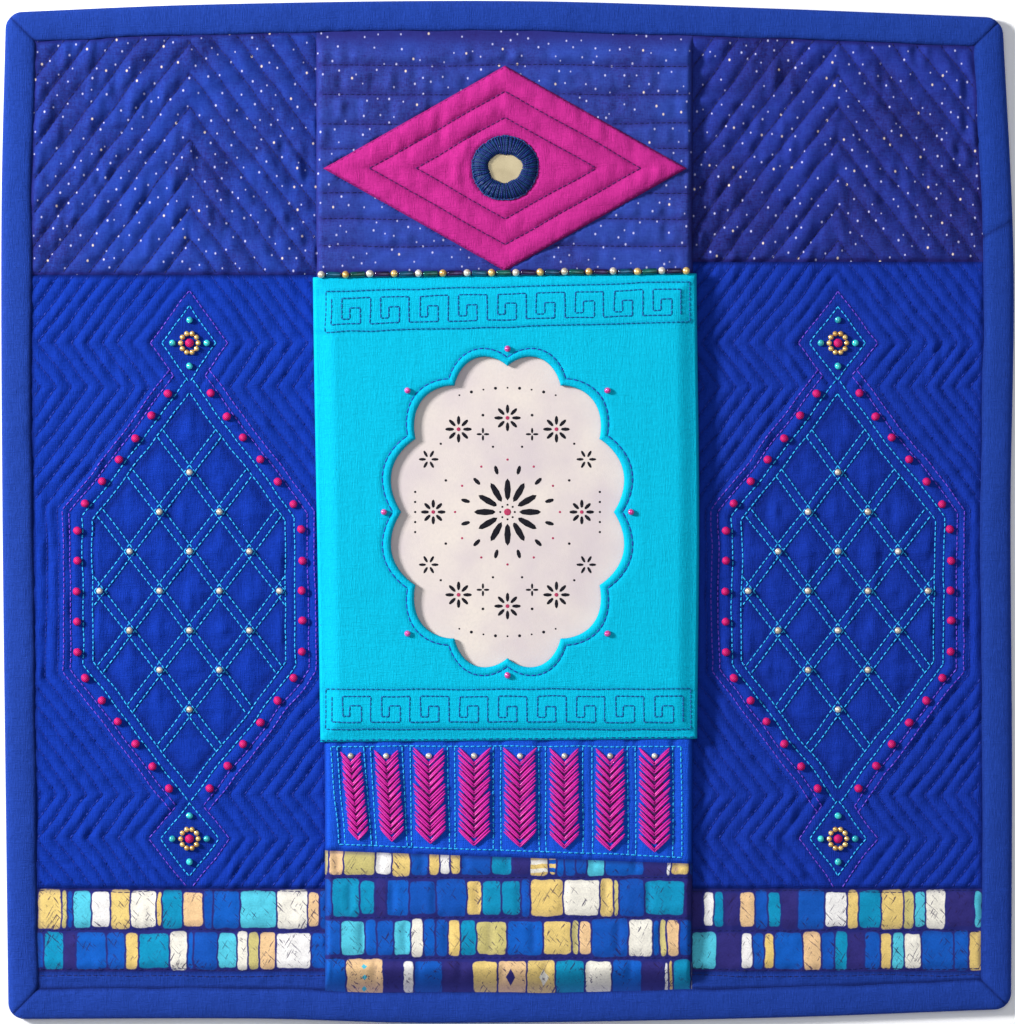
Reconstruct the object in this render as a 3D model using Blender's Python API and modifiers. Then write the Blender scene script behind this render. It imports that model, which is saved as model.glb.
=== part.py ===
"""A mini quilt, lying face up: a bound, quilted square with a raised panel up its middle.

The photograph's up is +Y, its right is +X, and the face looks along +Z.
Sizes are in millimetres here, and each mesh is turned to metres as it is made.
"""

import math

import bmesh
import bpy
from mathutils import Vector
from mathutils.geometry import delaunay_2d_cdt

MM = 0.001
GAP = 0.3
MARGIN = 0.1
OVERHANG = 1.0
POINT_MERGE = 0.02
FLAT_ANGLE = 0.002
MEETING_ROUNDS = 6

# The outline, as uneven as the real one: each row is a place along the side, then the edge there
TOP_EDGE = ((-200, 199.6), (-120, 202.8), (0, 204.2), (100, 201.4), (200, 197.4))
BOTTOM_EDGE = ((-200, -202.6), (-100, -202.4), (-30, -204.2), (100, -202.2), (200, -198.6))
LEFT_EDGE = ((-200, -199.4), (-120, -200.4), (0, -201.8), (120, -202.2), (200, -200.4))
RIGHT_EDGE = ((-200, 201.2), (-100, 201.6), (0, 201.0), (100, 202.2), (200, 197.6))
CORNER = 200.0
CORNER_CUT = 2.4
CORNER_FADE = 7.0
RIM_SHARES = (0.0, 0.022, 0.12, 0.22, 0.32, 0.42, 0.5, 0.58, 0.68, 0.78, 0.88, 0.978)

# The binding, a strip folded over the edge
BINDING_WIDTH = 12.0
BINDING_CLOTH = 0.8
BINDING_FOLD = 1.1
BINDING_TOP = 4.7
BINDING_WAVE = 0.12
BINDING_WAVES = 9
BINDING_CROWN = 7.4
BINDING_CROWN_RISE = 0.15
BINDING_DIP = 0.1
EDGE_ROUND = 2.8
EDGE_SHOULDER = 0.8
EDGE_NIP = 0.5
EDGE_LOW = 1.7
EDGE_HIGH = 3.0

# The quilted field
FIELD_EDGE_LOW = BINDING_CLOTH + GAP
FIELD_EDGE_HIGH = BINDING_TOP - BINDING_CLOTH - GAP
FIELD_OUTER = BINDING_FOLD + GAP
STEP_OUTER = BINDING_WIDTH + GAP
STEP_INNER = STEP_OUTER + GAP
GROOVE = 2.9
CREST = 4.2
FIELD_UNDER_PANEL = 3.2
FIELD_UNDER_ENDS = 2.2

# The patches of the two side fields: left, right, then seams from top to bottom
SIDE_PATCHES = {-1: (-186.6, -78.6, 185.0), 1: (77.6, 184.8, 183.0)}
STAR_SEAM = {-1: 94.8, 1: 100.0}
PRINT_SEAM = -150.5
PRINT_MIDDLE = -167.0
PLAIN_SEAM = -183.6

# The stitched medallions of the side fields: lozenge lattice inside an upright pointed hexagon
MEDALLION_X = {-1: -127.0, 1: 132.0}
MEDALLION_Y = -31.5
MEDALLION_HALF = (38.5, 79.0)
LATTICE_LINES = 5
LATTICE_SLOPE = 1.32
BADGE_RISE = 99.0
BADGE_HALF_HEIGHT = 15.0
ECHO_START = 4.0
ECHO_PITCH = 5.0
STAR_PITCH = 8.0
LOW_PUFF = 0.5

# The raised panel: its two sides, its ends under the binding, and its quilting
PANEL_LEFT = ((-200, -72.8), (-92, -73.2), (95, -76.2), (200, -76.4))
PANEL_RIGHT = ((-200, 73.6), (-92, 74.2), (0, 75.0), (95, 74.0), (200, 74.0))
PANEL_END = 199.0
PANEL_BACK = FIELD_UNDER_PANEL + GAP
PANEL_END_BACK = FIELD_UNDER_ENDS + GAP
PANEL_FLAT = 7.6
PANEL_GROOVE = 7.2
PANEL_CREST = 8.2
PANEL_ROLL = 2.5
PANEL_ROLL_DROP = 1.6
RAMP_FOOT = 189.4
RAMP_HEAD = 181.0
TUCK_HEAD = 187.0
STAR_LINES = (178.0, 166.4, 154.8, 144.8, 136.4, 127.2, 116.8, 106.0)
FLAT_HEAD = 95.7
FLAT_FOOT = -92.2
FLAT_EDGE = 0.8
LOZENGE_BED = 1.0
BAND_FOOT = -137.2
ROW_PUFF = 4.0
COLUMN_PUFF = 6.0
BAND_COLUMNS = (-68.6, -53.6, -38.7, -22.1, -4.7, 13.5, 31.6, 49.6, 67.4)
PRINT_ROWS = (-145.6, -161.6, -177.6)

# The lozenge sewn onto the panel, and the mirror at its centre
LOZENGE_X = -1.0
LOZENGE_Y = 137.0
LOZENGE_HALF = (72.5, 41.0)
LOZENGE_BACK = PANEL_FLAT + GAP
LOZENGE_EDGE = 8.8
LOZENGE_GROOVE = 8.7
LOZENGE_CREST = 9.5
LOZENGE_CENTRE = 9.1
LOZENGE_PITCH = 9.0
LOZENGE_NESTED = 6
MIRROR_RADIUS = 9.6
MIRROR_THICK = 0.8
MIRROR_BED = 13.6
MIRROR_BED_SIDES = 16
RING_BACK = LOZENGE_CENTRE + GAP
RING_INNER = 6.7
RING_OUTER = 13.1
RING_CROWN = 9.8
RING_CURL = 0.6
RING_SLOPE = 0.9
RING_SHOULDER = 0.7
RING_RISE = 1.1
RING_LOW = 0.3
ROUND_STEPS = 28

# The pocket front, with its window, and the page behind it
FRONT_TOP = ((-78, 93.6), (78, 95.2))
FRONT_FOOT = ((-78, -91.8), (78, -90.4))
FRONT_HALF = 76.0
FRONT_TURN = 1.5
FLAP_CLOTH = 1.0
FLAP_STEP = 0.15
FLAP_FOOT = 5.0
FRONT_STEPS = 8
FRONT_EDGE = 9.2
FRONT_RISE_WIDTH = 9.0
FRONT_BACK = 9.2
FRONT_FACE = 11.4
RIM_FACE = 10.7
RIM_WIDTH = 2.6
WINDOW_HALF = (42.6, 58.4)
SCALLOPS = 12
SCALLOP_DEPTH = 5.4
SCALLOP_STEPS = 6
PAGE_HALF = (57.0, 74.0)
PAGE_BACK = PANEL_FLAT + GAP
PAGE_THICK = 1.0


def clear_scene():
    for thing in list(bpy.data.objects):
        bpy.data.objects.remove(thing, do_unlink=True)


def linear(channel):
    share = channel / 255.0
    return share / 12.92 if share <= 0.04045 else ((share + 0.055) / 1.055) ** 2.4


def material(name, rgb, roughness, metallic=0.0):
    made = bpy.data.materials.new(name)
    made.use_nodes = True
    shader = made.node_tree.nodes["Principled BSDF"]
    shader.inputs["Base Color"].default_value = (*map(linear, rgb), 1.0)
    shader.inputs["Roughness"].default_value = roughness
    shader.inputs["Metallic"].default_value = metallic
    return made


def add_object(name, bm, cloth, home):
    """Turns the mesh from millimetres to metres and puts it in the scene."""
    bmesh.ops.recalc_face_normals(bm, faces=bm.faces[:])
    bmesh.ops.scale(bm, vec=(MM, MM, MM), verts=bm.verts[:])
    mesh = bpy.data.meshes.new(name)
    bm.to_mesh(mesh)
    bm.free()
    mesh.materials.append(cloth)
    made = bpy.data.objects.new(name, mesh)
    home.objects.link(made)
    return made


def along(table, place):
    """The smooth line through a short table, read at one place."""
    places = [row[0] for row in table]
    place = min(max(place, places[0]), places[-1])
    k = min(sum(1 for p in places[1:] if p <= place), len(places) - 2)

    def slope(i):
        low, high = max(i - 1, 0), min(i + 1, len(table) - 1)
        return (table[high][1] - table[low][1]) / (places[high] - places[low])

    span = places[k + 1] - places[k]
    u = (place - places[k]) / span
    rise = table[k + 1][1] - table[k][1]
    start, end = slope(k) * span, slope(k + 1) * span
    return table[k][1] + u * start + u * u * (3 * rise - 2 * start - end) + u**3 * (start + end - 2 * rise)


def ease(share):
    share = min(max(share, 0.0), 1.0)
    return share * share * (3 - 2 * share)


# The outline of the whole quilt


def inset_of(x, y):
    """How far a point lies in from the nearest side of the quilt."""
    from_ends = min(along(TOP_EDGE, x) - y, y - along(BOTTOM_EDGE, x))
    return min(from_ends, x - along(LEFT_EDGE, y), along(RIGHT_EDGE, y) - x)


def meeting(upright, level, sign_x, sign_y, inset):
    """The corner where two sides meet once both are moved in."""
    x, y = sign_x * CORNER, sign_y * CORNER
    for _ in range(MEETING_ROUNDS):
        x, y = along(upright, y) - sign_x * inset, along(level, x) - sign_y * inset
    return x, y


def rim_loop(inset):
    """The outline moved in by inset, anticlockwise from the top right corner, with its corners nipped."""
    corners = [
        meeting(RIGHT_EDGE, TOP_EDGE, 1, 1, inset),
        meeting(LEFT_EDGE, TOP_EDGE, -1, 1, inset),
        meeting(LEFT_EDGE, BOTTOM_EDGE, -1, -1, inset),
        meeting(RIGHT_EDGE, BOTTOM_EDGE, 1, -1, inset),
    ]
    sides = [
        lambda x, y: (x, along(TOP_EDGE, x) - inset),
        lambda x, y: (along(LEFT_EDGE, y) + inset, y),
        lambda x, y: (x, along(BOTTOM_EDGE, x) + inset),
        lambda x, y: (along(RIGHT_EDGE, y) - inset, y),
    ]
    cut = CORNER_CUT * (1 - ease(inset / CORNER_FADE))
    loop = []
    for k, side in enumerate(sides):
        here, there = corners[k], corners[(k + 1) % 4]
        for share in RIM_SHARES:
            x = here[0] + (there[0] - here[0]) * share
            y = here[1] + (there[1] - here[1]) * share
            if share:
                loop.append(side(x, y))
            else:
                loop.append((x - math.copysign(cut, x), y - math.copysign(cut, y)))
    return loop


# Straight lines and the convex shapes that they go round


def lozenge_planes(centre, half):
    """The four sides of an upright lozenge, each as a normal and its reach."""
    length = math.hypot(*half)
    across, up = half[1] / length, half[0] / length
    reach = up * half[1]
    return centre, [(sx * across, sy * up, reach) for sx in (1, -1) for sy in (1, -1)]


def hexagon_planes(centre, half, slope):
    """An upright hexagon: two plumb sides, and four slanting ones that meet in points."""
    length = math.hypot(slope, 1.0)
    across, up = slope / length, 1.0 / length
    reach = up * half[1]
    sides = [(sx * across, sy * up, reach) for sx in (1, -1) for sy in (1, -1)]
    return centre, sides + [(1.0, 0.0, half[0]), (-1.0, 0.0, half[0])]


def box_planes(low, high):
    return (0.0, 0.0), [(1.0, 0.0, high[0]), (-1.0, 0.0, -low[0]), (0.0, 1.0, high[1]), (0.0, -1.0, -low[1])]


def depth(shape, x, y):
    """How far out of the shape a point lies, measured square to its nearest side; under 0 inside."""
    (cx, cy), sides = shape
    return max(nx * (x - cx) + ny * (y - cy) - reach for nx, ny, reach in sides)


def ring(shape, out):
    """The corners of the shape grown by out, in order round it."""
    (cx, cy), sides = shape
    sides = sorted(sides, key=lambda side: math.atan2(side[1], side[0]))
    corners = []
    for k, (ax, ay, a_reach) in enumerate(sides):
        bx, by, b_reach = sides[(k + 1) % len(sides)]
        turn = ax * by - ay * bx
        a, b = a_reach + out, b_reach + out
        corners.append((cx + (a * by - b * ay) / turn, cy + (ax * b - bx * a) / turn))
    return corners


def clip(line, shape, out, inside):
    """The parts of a line inside the grown shape, or those outside it."""
    (x0, y0), (x1, y1) = line
    (cx, cy), sides = shape
    start, end = 0.0, 1.0
    for nx, ny, reach in sides:
        d0 = nx * (x0 - cx) + ny * (y0 - cy) - reach - out
        d1 = nx * (x1 - cx) + ny * (y1 - cy) - reach - out
        if abs(d1 - d0) < 1e-9:
            if d0 > 0:
                start, end = 1.0, 0.0
        elif d1 > d0:
            end = min(end, -d0 / (d1 - d0))
        else:
            start = max(start, d0 / (d0 - d1))
    if end <= start:
        kept = [] if inside else [(0.0, 1.0)]
    else:
        kept = [(start, end)] if inside else [(0.0, start), (end, 1.0)]
    return [
        tuple((x0 + (x1 - x0) * u, y0 + (y1 - y0) * u) for u in (a, b)) for a, b in kept if b - a > 1e-6
    ]


def sides_of(loop):
    return list(zip(loop, loop[1:] + loop[:1]))


def clip_all(lines, shape, out=0.0, inside=True):
    return [part for line in lines for part in clip(line, shape, out, inside)]


def inside_loop(loop, x, y):
    crossings = 0
    for (x0, y0), (x1, y1) in sides_of(loop):
        if (y0 > y) != (y1 > y) and x < x0 + (x1 - x0) * (y - y0) / (y1 - y0):
            crossings += 1
    return crossings % 2 == 1


# Cloth with two faces, triangulated along its own lines


def cloth_solid(outer, holes, lines, face, back, plain_back=False):
    """A closed sheet inside the outer loop: face and back give the height of each of its points."""
    points, edges = [], []
    for loop in [outer, *holes]:
        first = len(points)
        points += [Vector(p) for p in loop]
        edges += [(first + k, first + (k + 1) % len(loop)) for k in range(len(loop))]
    for a, b in lines:
        edges.append((len(points), len(points) + 1))
        points += [Vector(a), Vector(b)]
    made = delaunay_2d_cdt(points, edges, [], 0, POINT_MERGE)
    bm = bmesh.new()
    verts = [bm.verts.new((p.x, p.y, 0.0)) for p in made[0]]
    for face_points in made[2]:
        middle = sum((made[0][k] for k in face_points), Vector((0.0, 0.0))) / len(face_points)
        in_hole = any(inside_loop(hole, middle.x, middle.y) for hole in holes)
        if inside_loop(outer, middle.x, middle.y) and not in_hole:
            bm.faces.new([verts[k] for k in face_points])
    bmesh.ops.delete(bm, geom=[v for v in bm.verts if not v.link_faces], context="VERTS")
    backs = bm.verts[:]
    raised = bmesh.ops.extrude_face_region(bm, geom=bm.faces[:], use_keep_orig=True)["geom"]
    faces = [v for v in raised if isinstance(v, bmesh.types.BMVert)]
    for v in faces:
        v.co.z = face(v.co.x, v.co.y)
    for v in backs:
        v.co.z = back(v.co.x, v.co.y)
    if plain_back:
        bm.normal_update()
        flat = [e for e in bm.edges if all(v in set(backs) for v in e.verts)]
        bmesh.ops.dissolve_limit(bm, angle_limit=FLAT_ANGLE, verts=backs, edges=flat)
        bmesh.ops.triangulate(bm, faces=[f for f in bm.faces if len(f.verts) > 3])
    return bm


# The side fields


def side_shapes(side):
    """The medallion and the two small badges over and under it."""
    x = MEDALLION_X[side]
    badge_half = (BADGE_HALF_HEIGHT / LATTICE_SLOPE, BADGE_HALF_HEIGHT)
    medallion = hexagon_planes((x, MEDALLION_Y), MEDALLION_HALF, LATTICE_SLOPE)
    badges = [lozenge_planes((x, MEDALLION_Y + rise), badge_half) for rise in (BADGE_RISE, -BADGE_RISE)]
    return [medallion, *badges]


def echo_lines(shapes, out):
    """The outline round several shapes, each grown by out, where none hides the other."""
    lines = []
    for shape in shapes:
        mine = sides_of(ring(shape, out))
        for other in shapes:
            if other is not shape:
                mine = clip_all(mine, other, out, inside=False)
        lines += mine
    return lines


def lattice_of(medallion):
    """The two families of slanting lines, and how far apart the lines of each are."""
    (cx, cy), sides = medallion
    nx, ny, reach = sides[0]
    pitch = 2 * reach / LATTICE_LINES
    return cx, cy, nx, ny, reach, pitch


def lattice_lines(medallion):
    cx, cy, nx, ny, reach, pitch = lattice_of(medallion)
    lines = []
    for mirror in (1, -1):
        for k in range(2 * LATTICE_LINES - 1):
            place = -reach + (k + 1) * pitch / 2
            foot = (cx + mirror * nx * place, cy + ny * place)
            run = (mirror * ny * 2 * MEDALLION_HALF[1], -nx * 2 * MEDALLION_HALF[1])
            lines.append(((foot[0] - run[0], foot[1] - run[1]), (foot[0] + run[0], foot[1] + run[1])))
    return clip_all(lines, medallion)


def puff(share):
    return abs(math.sin(math.pi * share))


def side_height(side, x, y):
    """The height of the quilted face: low on each line of stitches, high between two."""
    shapes = side_shapes(side)
    out = min(depth(shape, x, y) for shape in shapes)
    if y < PRINT_SEAM:
        rows = (PRINT_SEAM, PRINT_MIDDLE, PLAIN_SEAM)
        rise = min(1.0, min(abs(y - row) for row in rows) / ROW_PUFF)
    elif y > STAR_SEAM[side]:
        rise = puff(out / STAR_PITCH)
    elif depth(shapes[0], x, y) < 0:
        cx, cy, nx, ny, reach, pitch = lattice_of(shapes[0])
        a = (nx * (x - cx) + ny * (y - cy) + reach) / pitch
        b = (-nx * (x - cx) + ny * (y - cy) + reach) / pitch
        rise = min(puff(a), puff(b))
    elif out < 0:
        rise = LOW_PUFF
    elif out < ECHO_START:
        rise = LOW_PUFF * puff(out / ECHO_START)
    else:
        rise = puff((out - ECHO_START) / ECHO_PITCH)
    return GROOVE + (CREST - GROOVE) * rise


def side_lines(side):
    """Every line of stitches and every crest between two, cut to the patch that holds it."""
    left, right, top = SIDE_PATCHES[side]
    shapes = side_shapes(side)
    seam = STAR_SEAM[side]
    star = box_planes((left, seam), (right, top))
    plain = box_planes((left, PRINT_SEAM), (right, seam))
    print_patch = box_planes((left, PLAIN_SEAM), (right, PRINT_SEAM))
    lines = [edge for patch in (star, plain, print_patch) for edge in sides_of(ring(patch, 0.0))]
    corners = [(x, y) for x in (left, right) for y in (top, PRINT_SEAM)]
    farthest = max(min(depth(shape, x, y) for shape in shapes) for x, y in corners)
    for k in range(1, int(2 * farthest / STAR_PITCH) + 1):
        lines += clip_all(echo_lines(shapes, k * STAR_PITCH / 2), star)
    echo_count = int(2 * farthest / ECHO_PITCH)
    outs = [0.0, ECHO_START / 2] + [ECHO_START + k * ECHO_PITCH / 2 for k in range(echo_count)]
    for out in outs:
        lines += clip_all(echo_lines(shapes, out), plain)
    lines += lattice_lines(shapes[0])
    crests = (PRINT_SEAM - ROW_PUFF, PRINT_MIDDLE + ROW_PUFF, PRINT_MIDDLE - ROW_PUFF, PLAIN_SEAM + ROW_PUFF)
    for row in (PRINT_MIDDLE, *crests):
        lines.append(((left, row), (right, row)))
    return lines


# The quilted field, in one piece under everything


def under_panel(x, y):
    return SIDE_PATCHES[-1][1] + GAP < x < SIDE_PATCHES[1][0] - GAP


def field_face(x, y):
    inset = inset_of(x, y)
    if under_panel(x, y):
        tucked = ease((abs(y) - TUCK_HEAD) / (RAMP_FOOT - TUCK_HEAD))
        return FIELD_UNDER_PANEL + (FIELD_UNDER_ENDS - FIELD_UNDER_PANEL) * tucked
    if inset < STEP_INNER + GAP / 2:
        return FIELD_EDGE_HIGH
    side = -1 if x < 0 else 1
    return side_height(side, x, y)


def field_back(x, y):
    return FIELD_EDGE_LOW if inset_of(x, y) < (STEP_OUTER + STEP_INNER) / 2 else 0.0


def build_field(home):
    lines = sides_of(rim_loop(STEP_OUTER)) + sides_of(rim_loop(STEP_INNER))
    for side in (-1, 1):
        lines += side_lines(side)
        panel_side = SIDE_PATCHES[side][1] if side < 0 else SIDE_PATCHES[side][0]
        flat_side = panel_side - side * 2 * GAP
        reach = CORNER - 1.0
        for x in (panel_side, flat_side):
            lines.append(((x, -reach), (x, reach)))
    for y in (-RAMP_FOOT, -TUCK_HEAD, TUCK_HEAD, RAMP_FOOT):
        lines.append(((SIDE_PATCHES[-1][1] + 2 * GAP, y), (SIDE_PATCHES[1][0] - 2 * GAP, y)))
    bm = cloth_solid(rim_loop(FIELD_OUTER), [], lines, field_face, field_back, plain_back=True)
    add_object("quilt_field", bm, material("quilted_cloth", (22, 60, 165), 0.85), home)


# The binding, lofted round the outline with a mitre at each corner


def binding_section(wave):
    """Inset and height of each point of the folded strip, from its back edge round to its inner fold."""
    top, back = BINDING_TOP + wave, BINDING_CLOTH
    inner_top = BINDING_TOP - BINDING_CLOTH
    return (
        (BINDING_WIDTH, 0.0),
        (EDGE_ROUND, 0.0),
        (EDGE_SHOULDER, EDGE_NIP),
        (0.0, EDGE_LOW),
        (0.0, EDGE_HIGH),
        (EDGE_SHOULDER, top - EDGE_NIP),
        (EDGE_ROUND, top),
        (BINDING_CROWN, top + BINDING_CROWN_RISE),
        (BINDING_WIDTH, top - BINDING_DIP),
        (BINDING_WIDTH, inner_top),
        (BINDING_FOLD, inner_top),
        (BINDING_FOLD, back),
        (BINDING_WIDTH, back),
    )


def build_binding(home):
    count = len(rim_loop(0.0))
    waves = [BINDING_WAVE * math.sin(math.tau * BINDING_WAVES * k / count) for k in range(count)]
    sections = [binding_section(wave) for wave in waves]
    loops = {inset: rim_loop(inset) for inset in {point[0] for point in sections[0]}}
    bm = bmesh.new()
    rows = []
    for k, section in enumerate(sections):
        rows.append([bm.verts.new((*loops[inset][k], height)) for inset, height in section])
    for here, there in zip(rows, rows[1:] + rows[:1]):
        for a, b, c, d in zip(here, here[1:] + here[:1], there[1:] + there[:1], there):
            bm.faces.new((a, b, c, d))
    add_object("binding", bm, material("binding_cloth", (34, 68, 160), 0.8), home)


# The raised panel


def panel_left(y):
    return along(PANEL_LEFT, y)


def panel_right(y):
    return along(PANEL_RIGHT, y)


def panel_loop(inset, end, steps=12):
    """The panel's outline: its right side going up, then its left side coming down."""
    heights = [-end + 2 * end * k / steps for k in range(steps + 1)]
    right = [(panel_right(y) - inset, y) for y in heights]
    left = [(panel_left(y) + inset, y) for y in reversed(heights)]
    return right + left


def lozenge():
    return lozenge_planes((LOZENGE_X, LOZENGE_Y), LOZENGE_HALF)


def halfway(places):
    return [(a + b) / 2 for a, b in zip(places, places[1:])]


def panel_rise(x, y):
    """From 0 on a line of stitches to 1 between two, and None where the panel is flat under another piece."""
    under_front = FLAT_FOOT - MARGIN < y < FLAT_HEAD + MARGIN
    if under_front or depth(lozenge(), x, y) < LOZENGE_BED + MARGIN:
        return None
    if y > 0:
        return min(1.0, min(abs(y - line) for line in STAR_LINES) / ROW_PUFF)
    if y > BAND_FOOT:
        return min(1.0, min(abs(x - column) for column in BAND_COLUMNS) / COLUMN_PUFF)
    return min(1.0, min(abs(y - row) for row in (BAND_FOOT, *PRINT_ROWS)) / ROW_PUFF)


def panel_face(x, y):
    rise = panel_rise(x, y)
    top = PANEL_FLAT if rise is None else PANEL_GROOVE + (PANEL_CREST - PANEL_GROOVE) * rise
    side = min(x - panel_left(y), panel_right(y) - x)
    if rise is not None or side < PANEL_ROLL / 2:
        top -= PANEL_ROLL_DROP * (1 - ease(side / PANEL_ROLL))
    ramp = ease((abs(y) - RAMP_HEAD) / (RAMP_FOOT - RAMP_HEAD))
    return top + (FIELD_EDGE_HIGH - top) * ramp


def panel_back(x, y):
    tucked = ease((abs(y) - TUCK_HEAD) / (RAMP_FOOT - TUCK_HEAD))
    return PANEL_BACK + (PANEL_END_BACK - PANEL_BACK) * tucked


def build_panel(home):
    inner = panel_loop(PANEL_ROLL, PANEL_END + OVERHANG)
    lines = sides_of(inner)[: len(inner) // 2 - 1] + sides_of(inner)[len(inner) // 2 : -1]

    def level(y):
        return ((panel_left(y) - OVERHANG, y), (panel_right(y) + OVERHANG, y))

    ramp_places = (RAMP_HEAD, (RAMP_HEAD + RAMP_FOOT) / 2, RAMP_FOOT, TUCK_HEAD)
    lines += [level(sign * y) for sign in (1, -1) for y in ramp_places]
    star_places = [*STAR_LINES, *halfway(STAR_LINES), FLAT_HEAD, FLAT_HEAD + FLAT_EDGE]
    star_lines = [level(y) for y in star_places]
    lines += clip_all(star_lines, lozenge(), LOZENGE_BED + 2 * MARGIN, inside=False)
    lines += sides_of(ring(lozenge(), LOZENGE_BED))
    band_head = FLAT_FOOT - FLAT_EDGE
    print_places = [FLAT_FOOT, band_head, BAND_FOOT, *PRINT_ROWS, *halfway((BAND_FOOT, *PRINT_ROWS))]
    lines += [level(y) for y in print_places]
    for x in (*BAND_COLUMNS, *halfway(BAND_COLUMNS)):
        lines.append(((x, band_head), (x, BAND_FOOT)))
    bm = cloth_solid(panel_loop(0.0, PANEL_END), [], lines, panel_face, panel_back, plain_back=True)
    add_object("centre_panel", bm, material("panel_cloth", (42, 62, 160), 0.85), home)


# The lozenge sewn on the panel, and its mirror


def lozenge_face(x, y):
    out = -depth(lozenge(), x, y)
    if out < MARGIN / 2:
        return LOZENGE_EDGE
    if math.hypot(x - LOZENGE_X, y - LOZENGE_Y) < MIRROR_BED + MARGIN:
        return LOZENGE_CENTRE
    return LOZENGE_GROOVE + (LOZENGE_CREST - LOZENGE_GROOVE) * puff(out / LOZENGE_PITCH)


def build_lozenge(home):
    lines = []
    for k in range(1, LOZENGE_NESTED):
        lines += sides_of(ring(lozenge(), -k * LOZENGE_PITCH / 2))
    turns = [math.tau * k / MIRROR_BED_SIDES for k in range(MIRROR_BED_SIDES)]
    mirror_bed = [
        (LOZENGE_X + MIRROR_BED * math.cos(turn), LOZENGE_Y + MIRROR_BED * math.sin(turn)) for turn in turns
    ]
    lines += sides_of(mirror_bed)
    outline = ring(lozenge(), 0.0)
    bm = cloth_solid(outline, [], lines, lozenge_face, lambda x, y: LOZENGE_BACK, plain_back=True)
    add_object("lozenge", bm, material("magenta_cloth", (190, 45, 137), 0.8), home)


def build_mirror(home):
    bpy.ops.mesh.primitive_cylinder_add(
        vertices=ROUND_STEPS,
        radius=MIRROR_RADIUS * MM,
        depth=MIRROR_THICK * MM,
        location=(LOZENGE_X * MM, LOZENGE_Y * MM, (RING_BACK + MIRROR_THICK / 2) * MM),
    )
    mirror = bpy.context.object
    mirror.name = "mirror"
    mirror.data.materials.append(material("mirror_glass", (205, 200, 175), 0.15, 0.9))
    for collection in list(mirror.users_collection):
        collection.objects.unlink(mirror)
    home.objects.link(mirror)


def build_mirror_ring(home):
    """A worked ring over the mirror's edge: a profile turned about the mirror's centre."""
    lip = RING_BACK + MIRROR_THICK + GAP
    outer_step = MIRROR_RADIUS + GAP
    profile = (
        (RING_INNER, lip),
        (RING_INNER + RING_CURL, lip + RING_SHOULDER),
        (RING_CROWN, lip + RING_RISE),
        (RING_OUTER - RING_SLOPE, lip + RING_LOW),
        (RING_OUTER, RING_BACK),
        (outer_step, RING_BACK),
        (outer_step, lip),
    )
    bm = bmesh.new()
    verts = [bm.verts.new((r * MM, 0.0, z * MM)) for r, z in profile]
    for a, b in zip(verts, verts[1:] + verts[:1]):
        bm.edges.new((a, b))
    mesh = bpy.data.meshes.new("mirror_ring")
    bm.to_mesh(mesh)
    bm.free()
    mesh.materials.append(material("ring_thread", (22, 40, 92), 0.6))
    ring_object = bpy.data.objects.new("mirror_ring", mesh)
    ring_object.location = (LOZENGE_X * MM, LOZENGE_Y * MM, 0.0)
    turn = ring_object.modifiers.new("turn", "SCREW")
    turn.steps = ROUND_STEPS
    turn.render_steps = ROUND_STEPS
    turn.use_merge_vertices = True
    turn.merge_threshold = MARGIN * MM
    home.objects.link(ring_object)


# The pocket front and its page


def front_loop(inset=0.0, end_inset=0.0):
    """The pocket front's outline, anticlockwise from its lower right corner, its sides and ends moved in."""
    right, left = [], []
    for k in range(FRONT_STEPS + 1):
        share = k / FRONT_STEPS
        for side, found in ((1, right), (-1, left)):
            edge = panel_right if side > 0 else panel_left
            foot = along(FRONT_FOOT, side * FRONT_HALF) + end_inset
            head = along(FRONT_TOP, side * FRONT_HALF) - end_inset
            y = foot + (head - foot) * share
            found.append((edge(y) + side * (FRONT_TURN - inset), y))
    return right + left[::-1]


def front_side(x, y):
    """How far in from the pocket front's left or right side a point lies."""
    return min(x - panel_left(y), panel_right(y) - x) + FRONT_TURN


def front_inset(x, y):
    return min(front_side(x, y), along(FRONT_TOP, x) - y, y - along(FRONT_FOOT, x))


def window_loop(out=0.0):
    """A scalloped oval: round lobes that meet in points, with out for the turned rim's outer line."""
    loop = []
    for k in range(SCALLOPS * SCALLOP_STEPS):
        angle = math.tau * k / (SCALLOPS * SCALLOP_STEPS)
        lobe = SCALLOP_DEPTH * math.sin(math.pi * (k % SCALLOP_STEPS) / SCALLOP_STEPS) + out
        a, b = WINDOW_HALF
        outward = Vector((math.cos(angle) / a, math.sin(angle) / b)).normalized()
        loop.append((a * math.cos(angle) + lobe * outward.x, b * math.sin(angle) + lobe * outward.y))
    return loop


def front_face(x, y):
    rise = ease(front_inset(x, y) / FRONT_RISE_WIDTH)
    top = FRONT_EDGE + (FRONT_FACE - FRONT_EDGE) * rise
    return RIM_FACE if inside_loop(window_loop(RIM_WIDTH / 2), x, y) else top


def front_back(x, y):
    if front_side(x, y) < FLAP_CLOTH + MARGIN / 2:
        return FLAP_FOOT
    rise = ease((front_inset(x, y) - FLAP_CLOTH) / (FRONT_RISE_WIDTH - FLAP_CLOTH))
    return PANEL_FLAT + GAP + (FRONT_BACK - PANEL_FLAT - GAP) * rise


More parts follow.
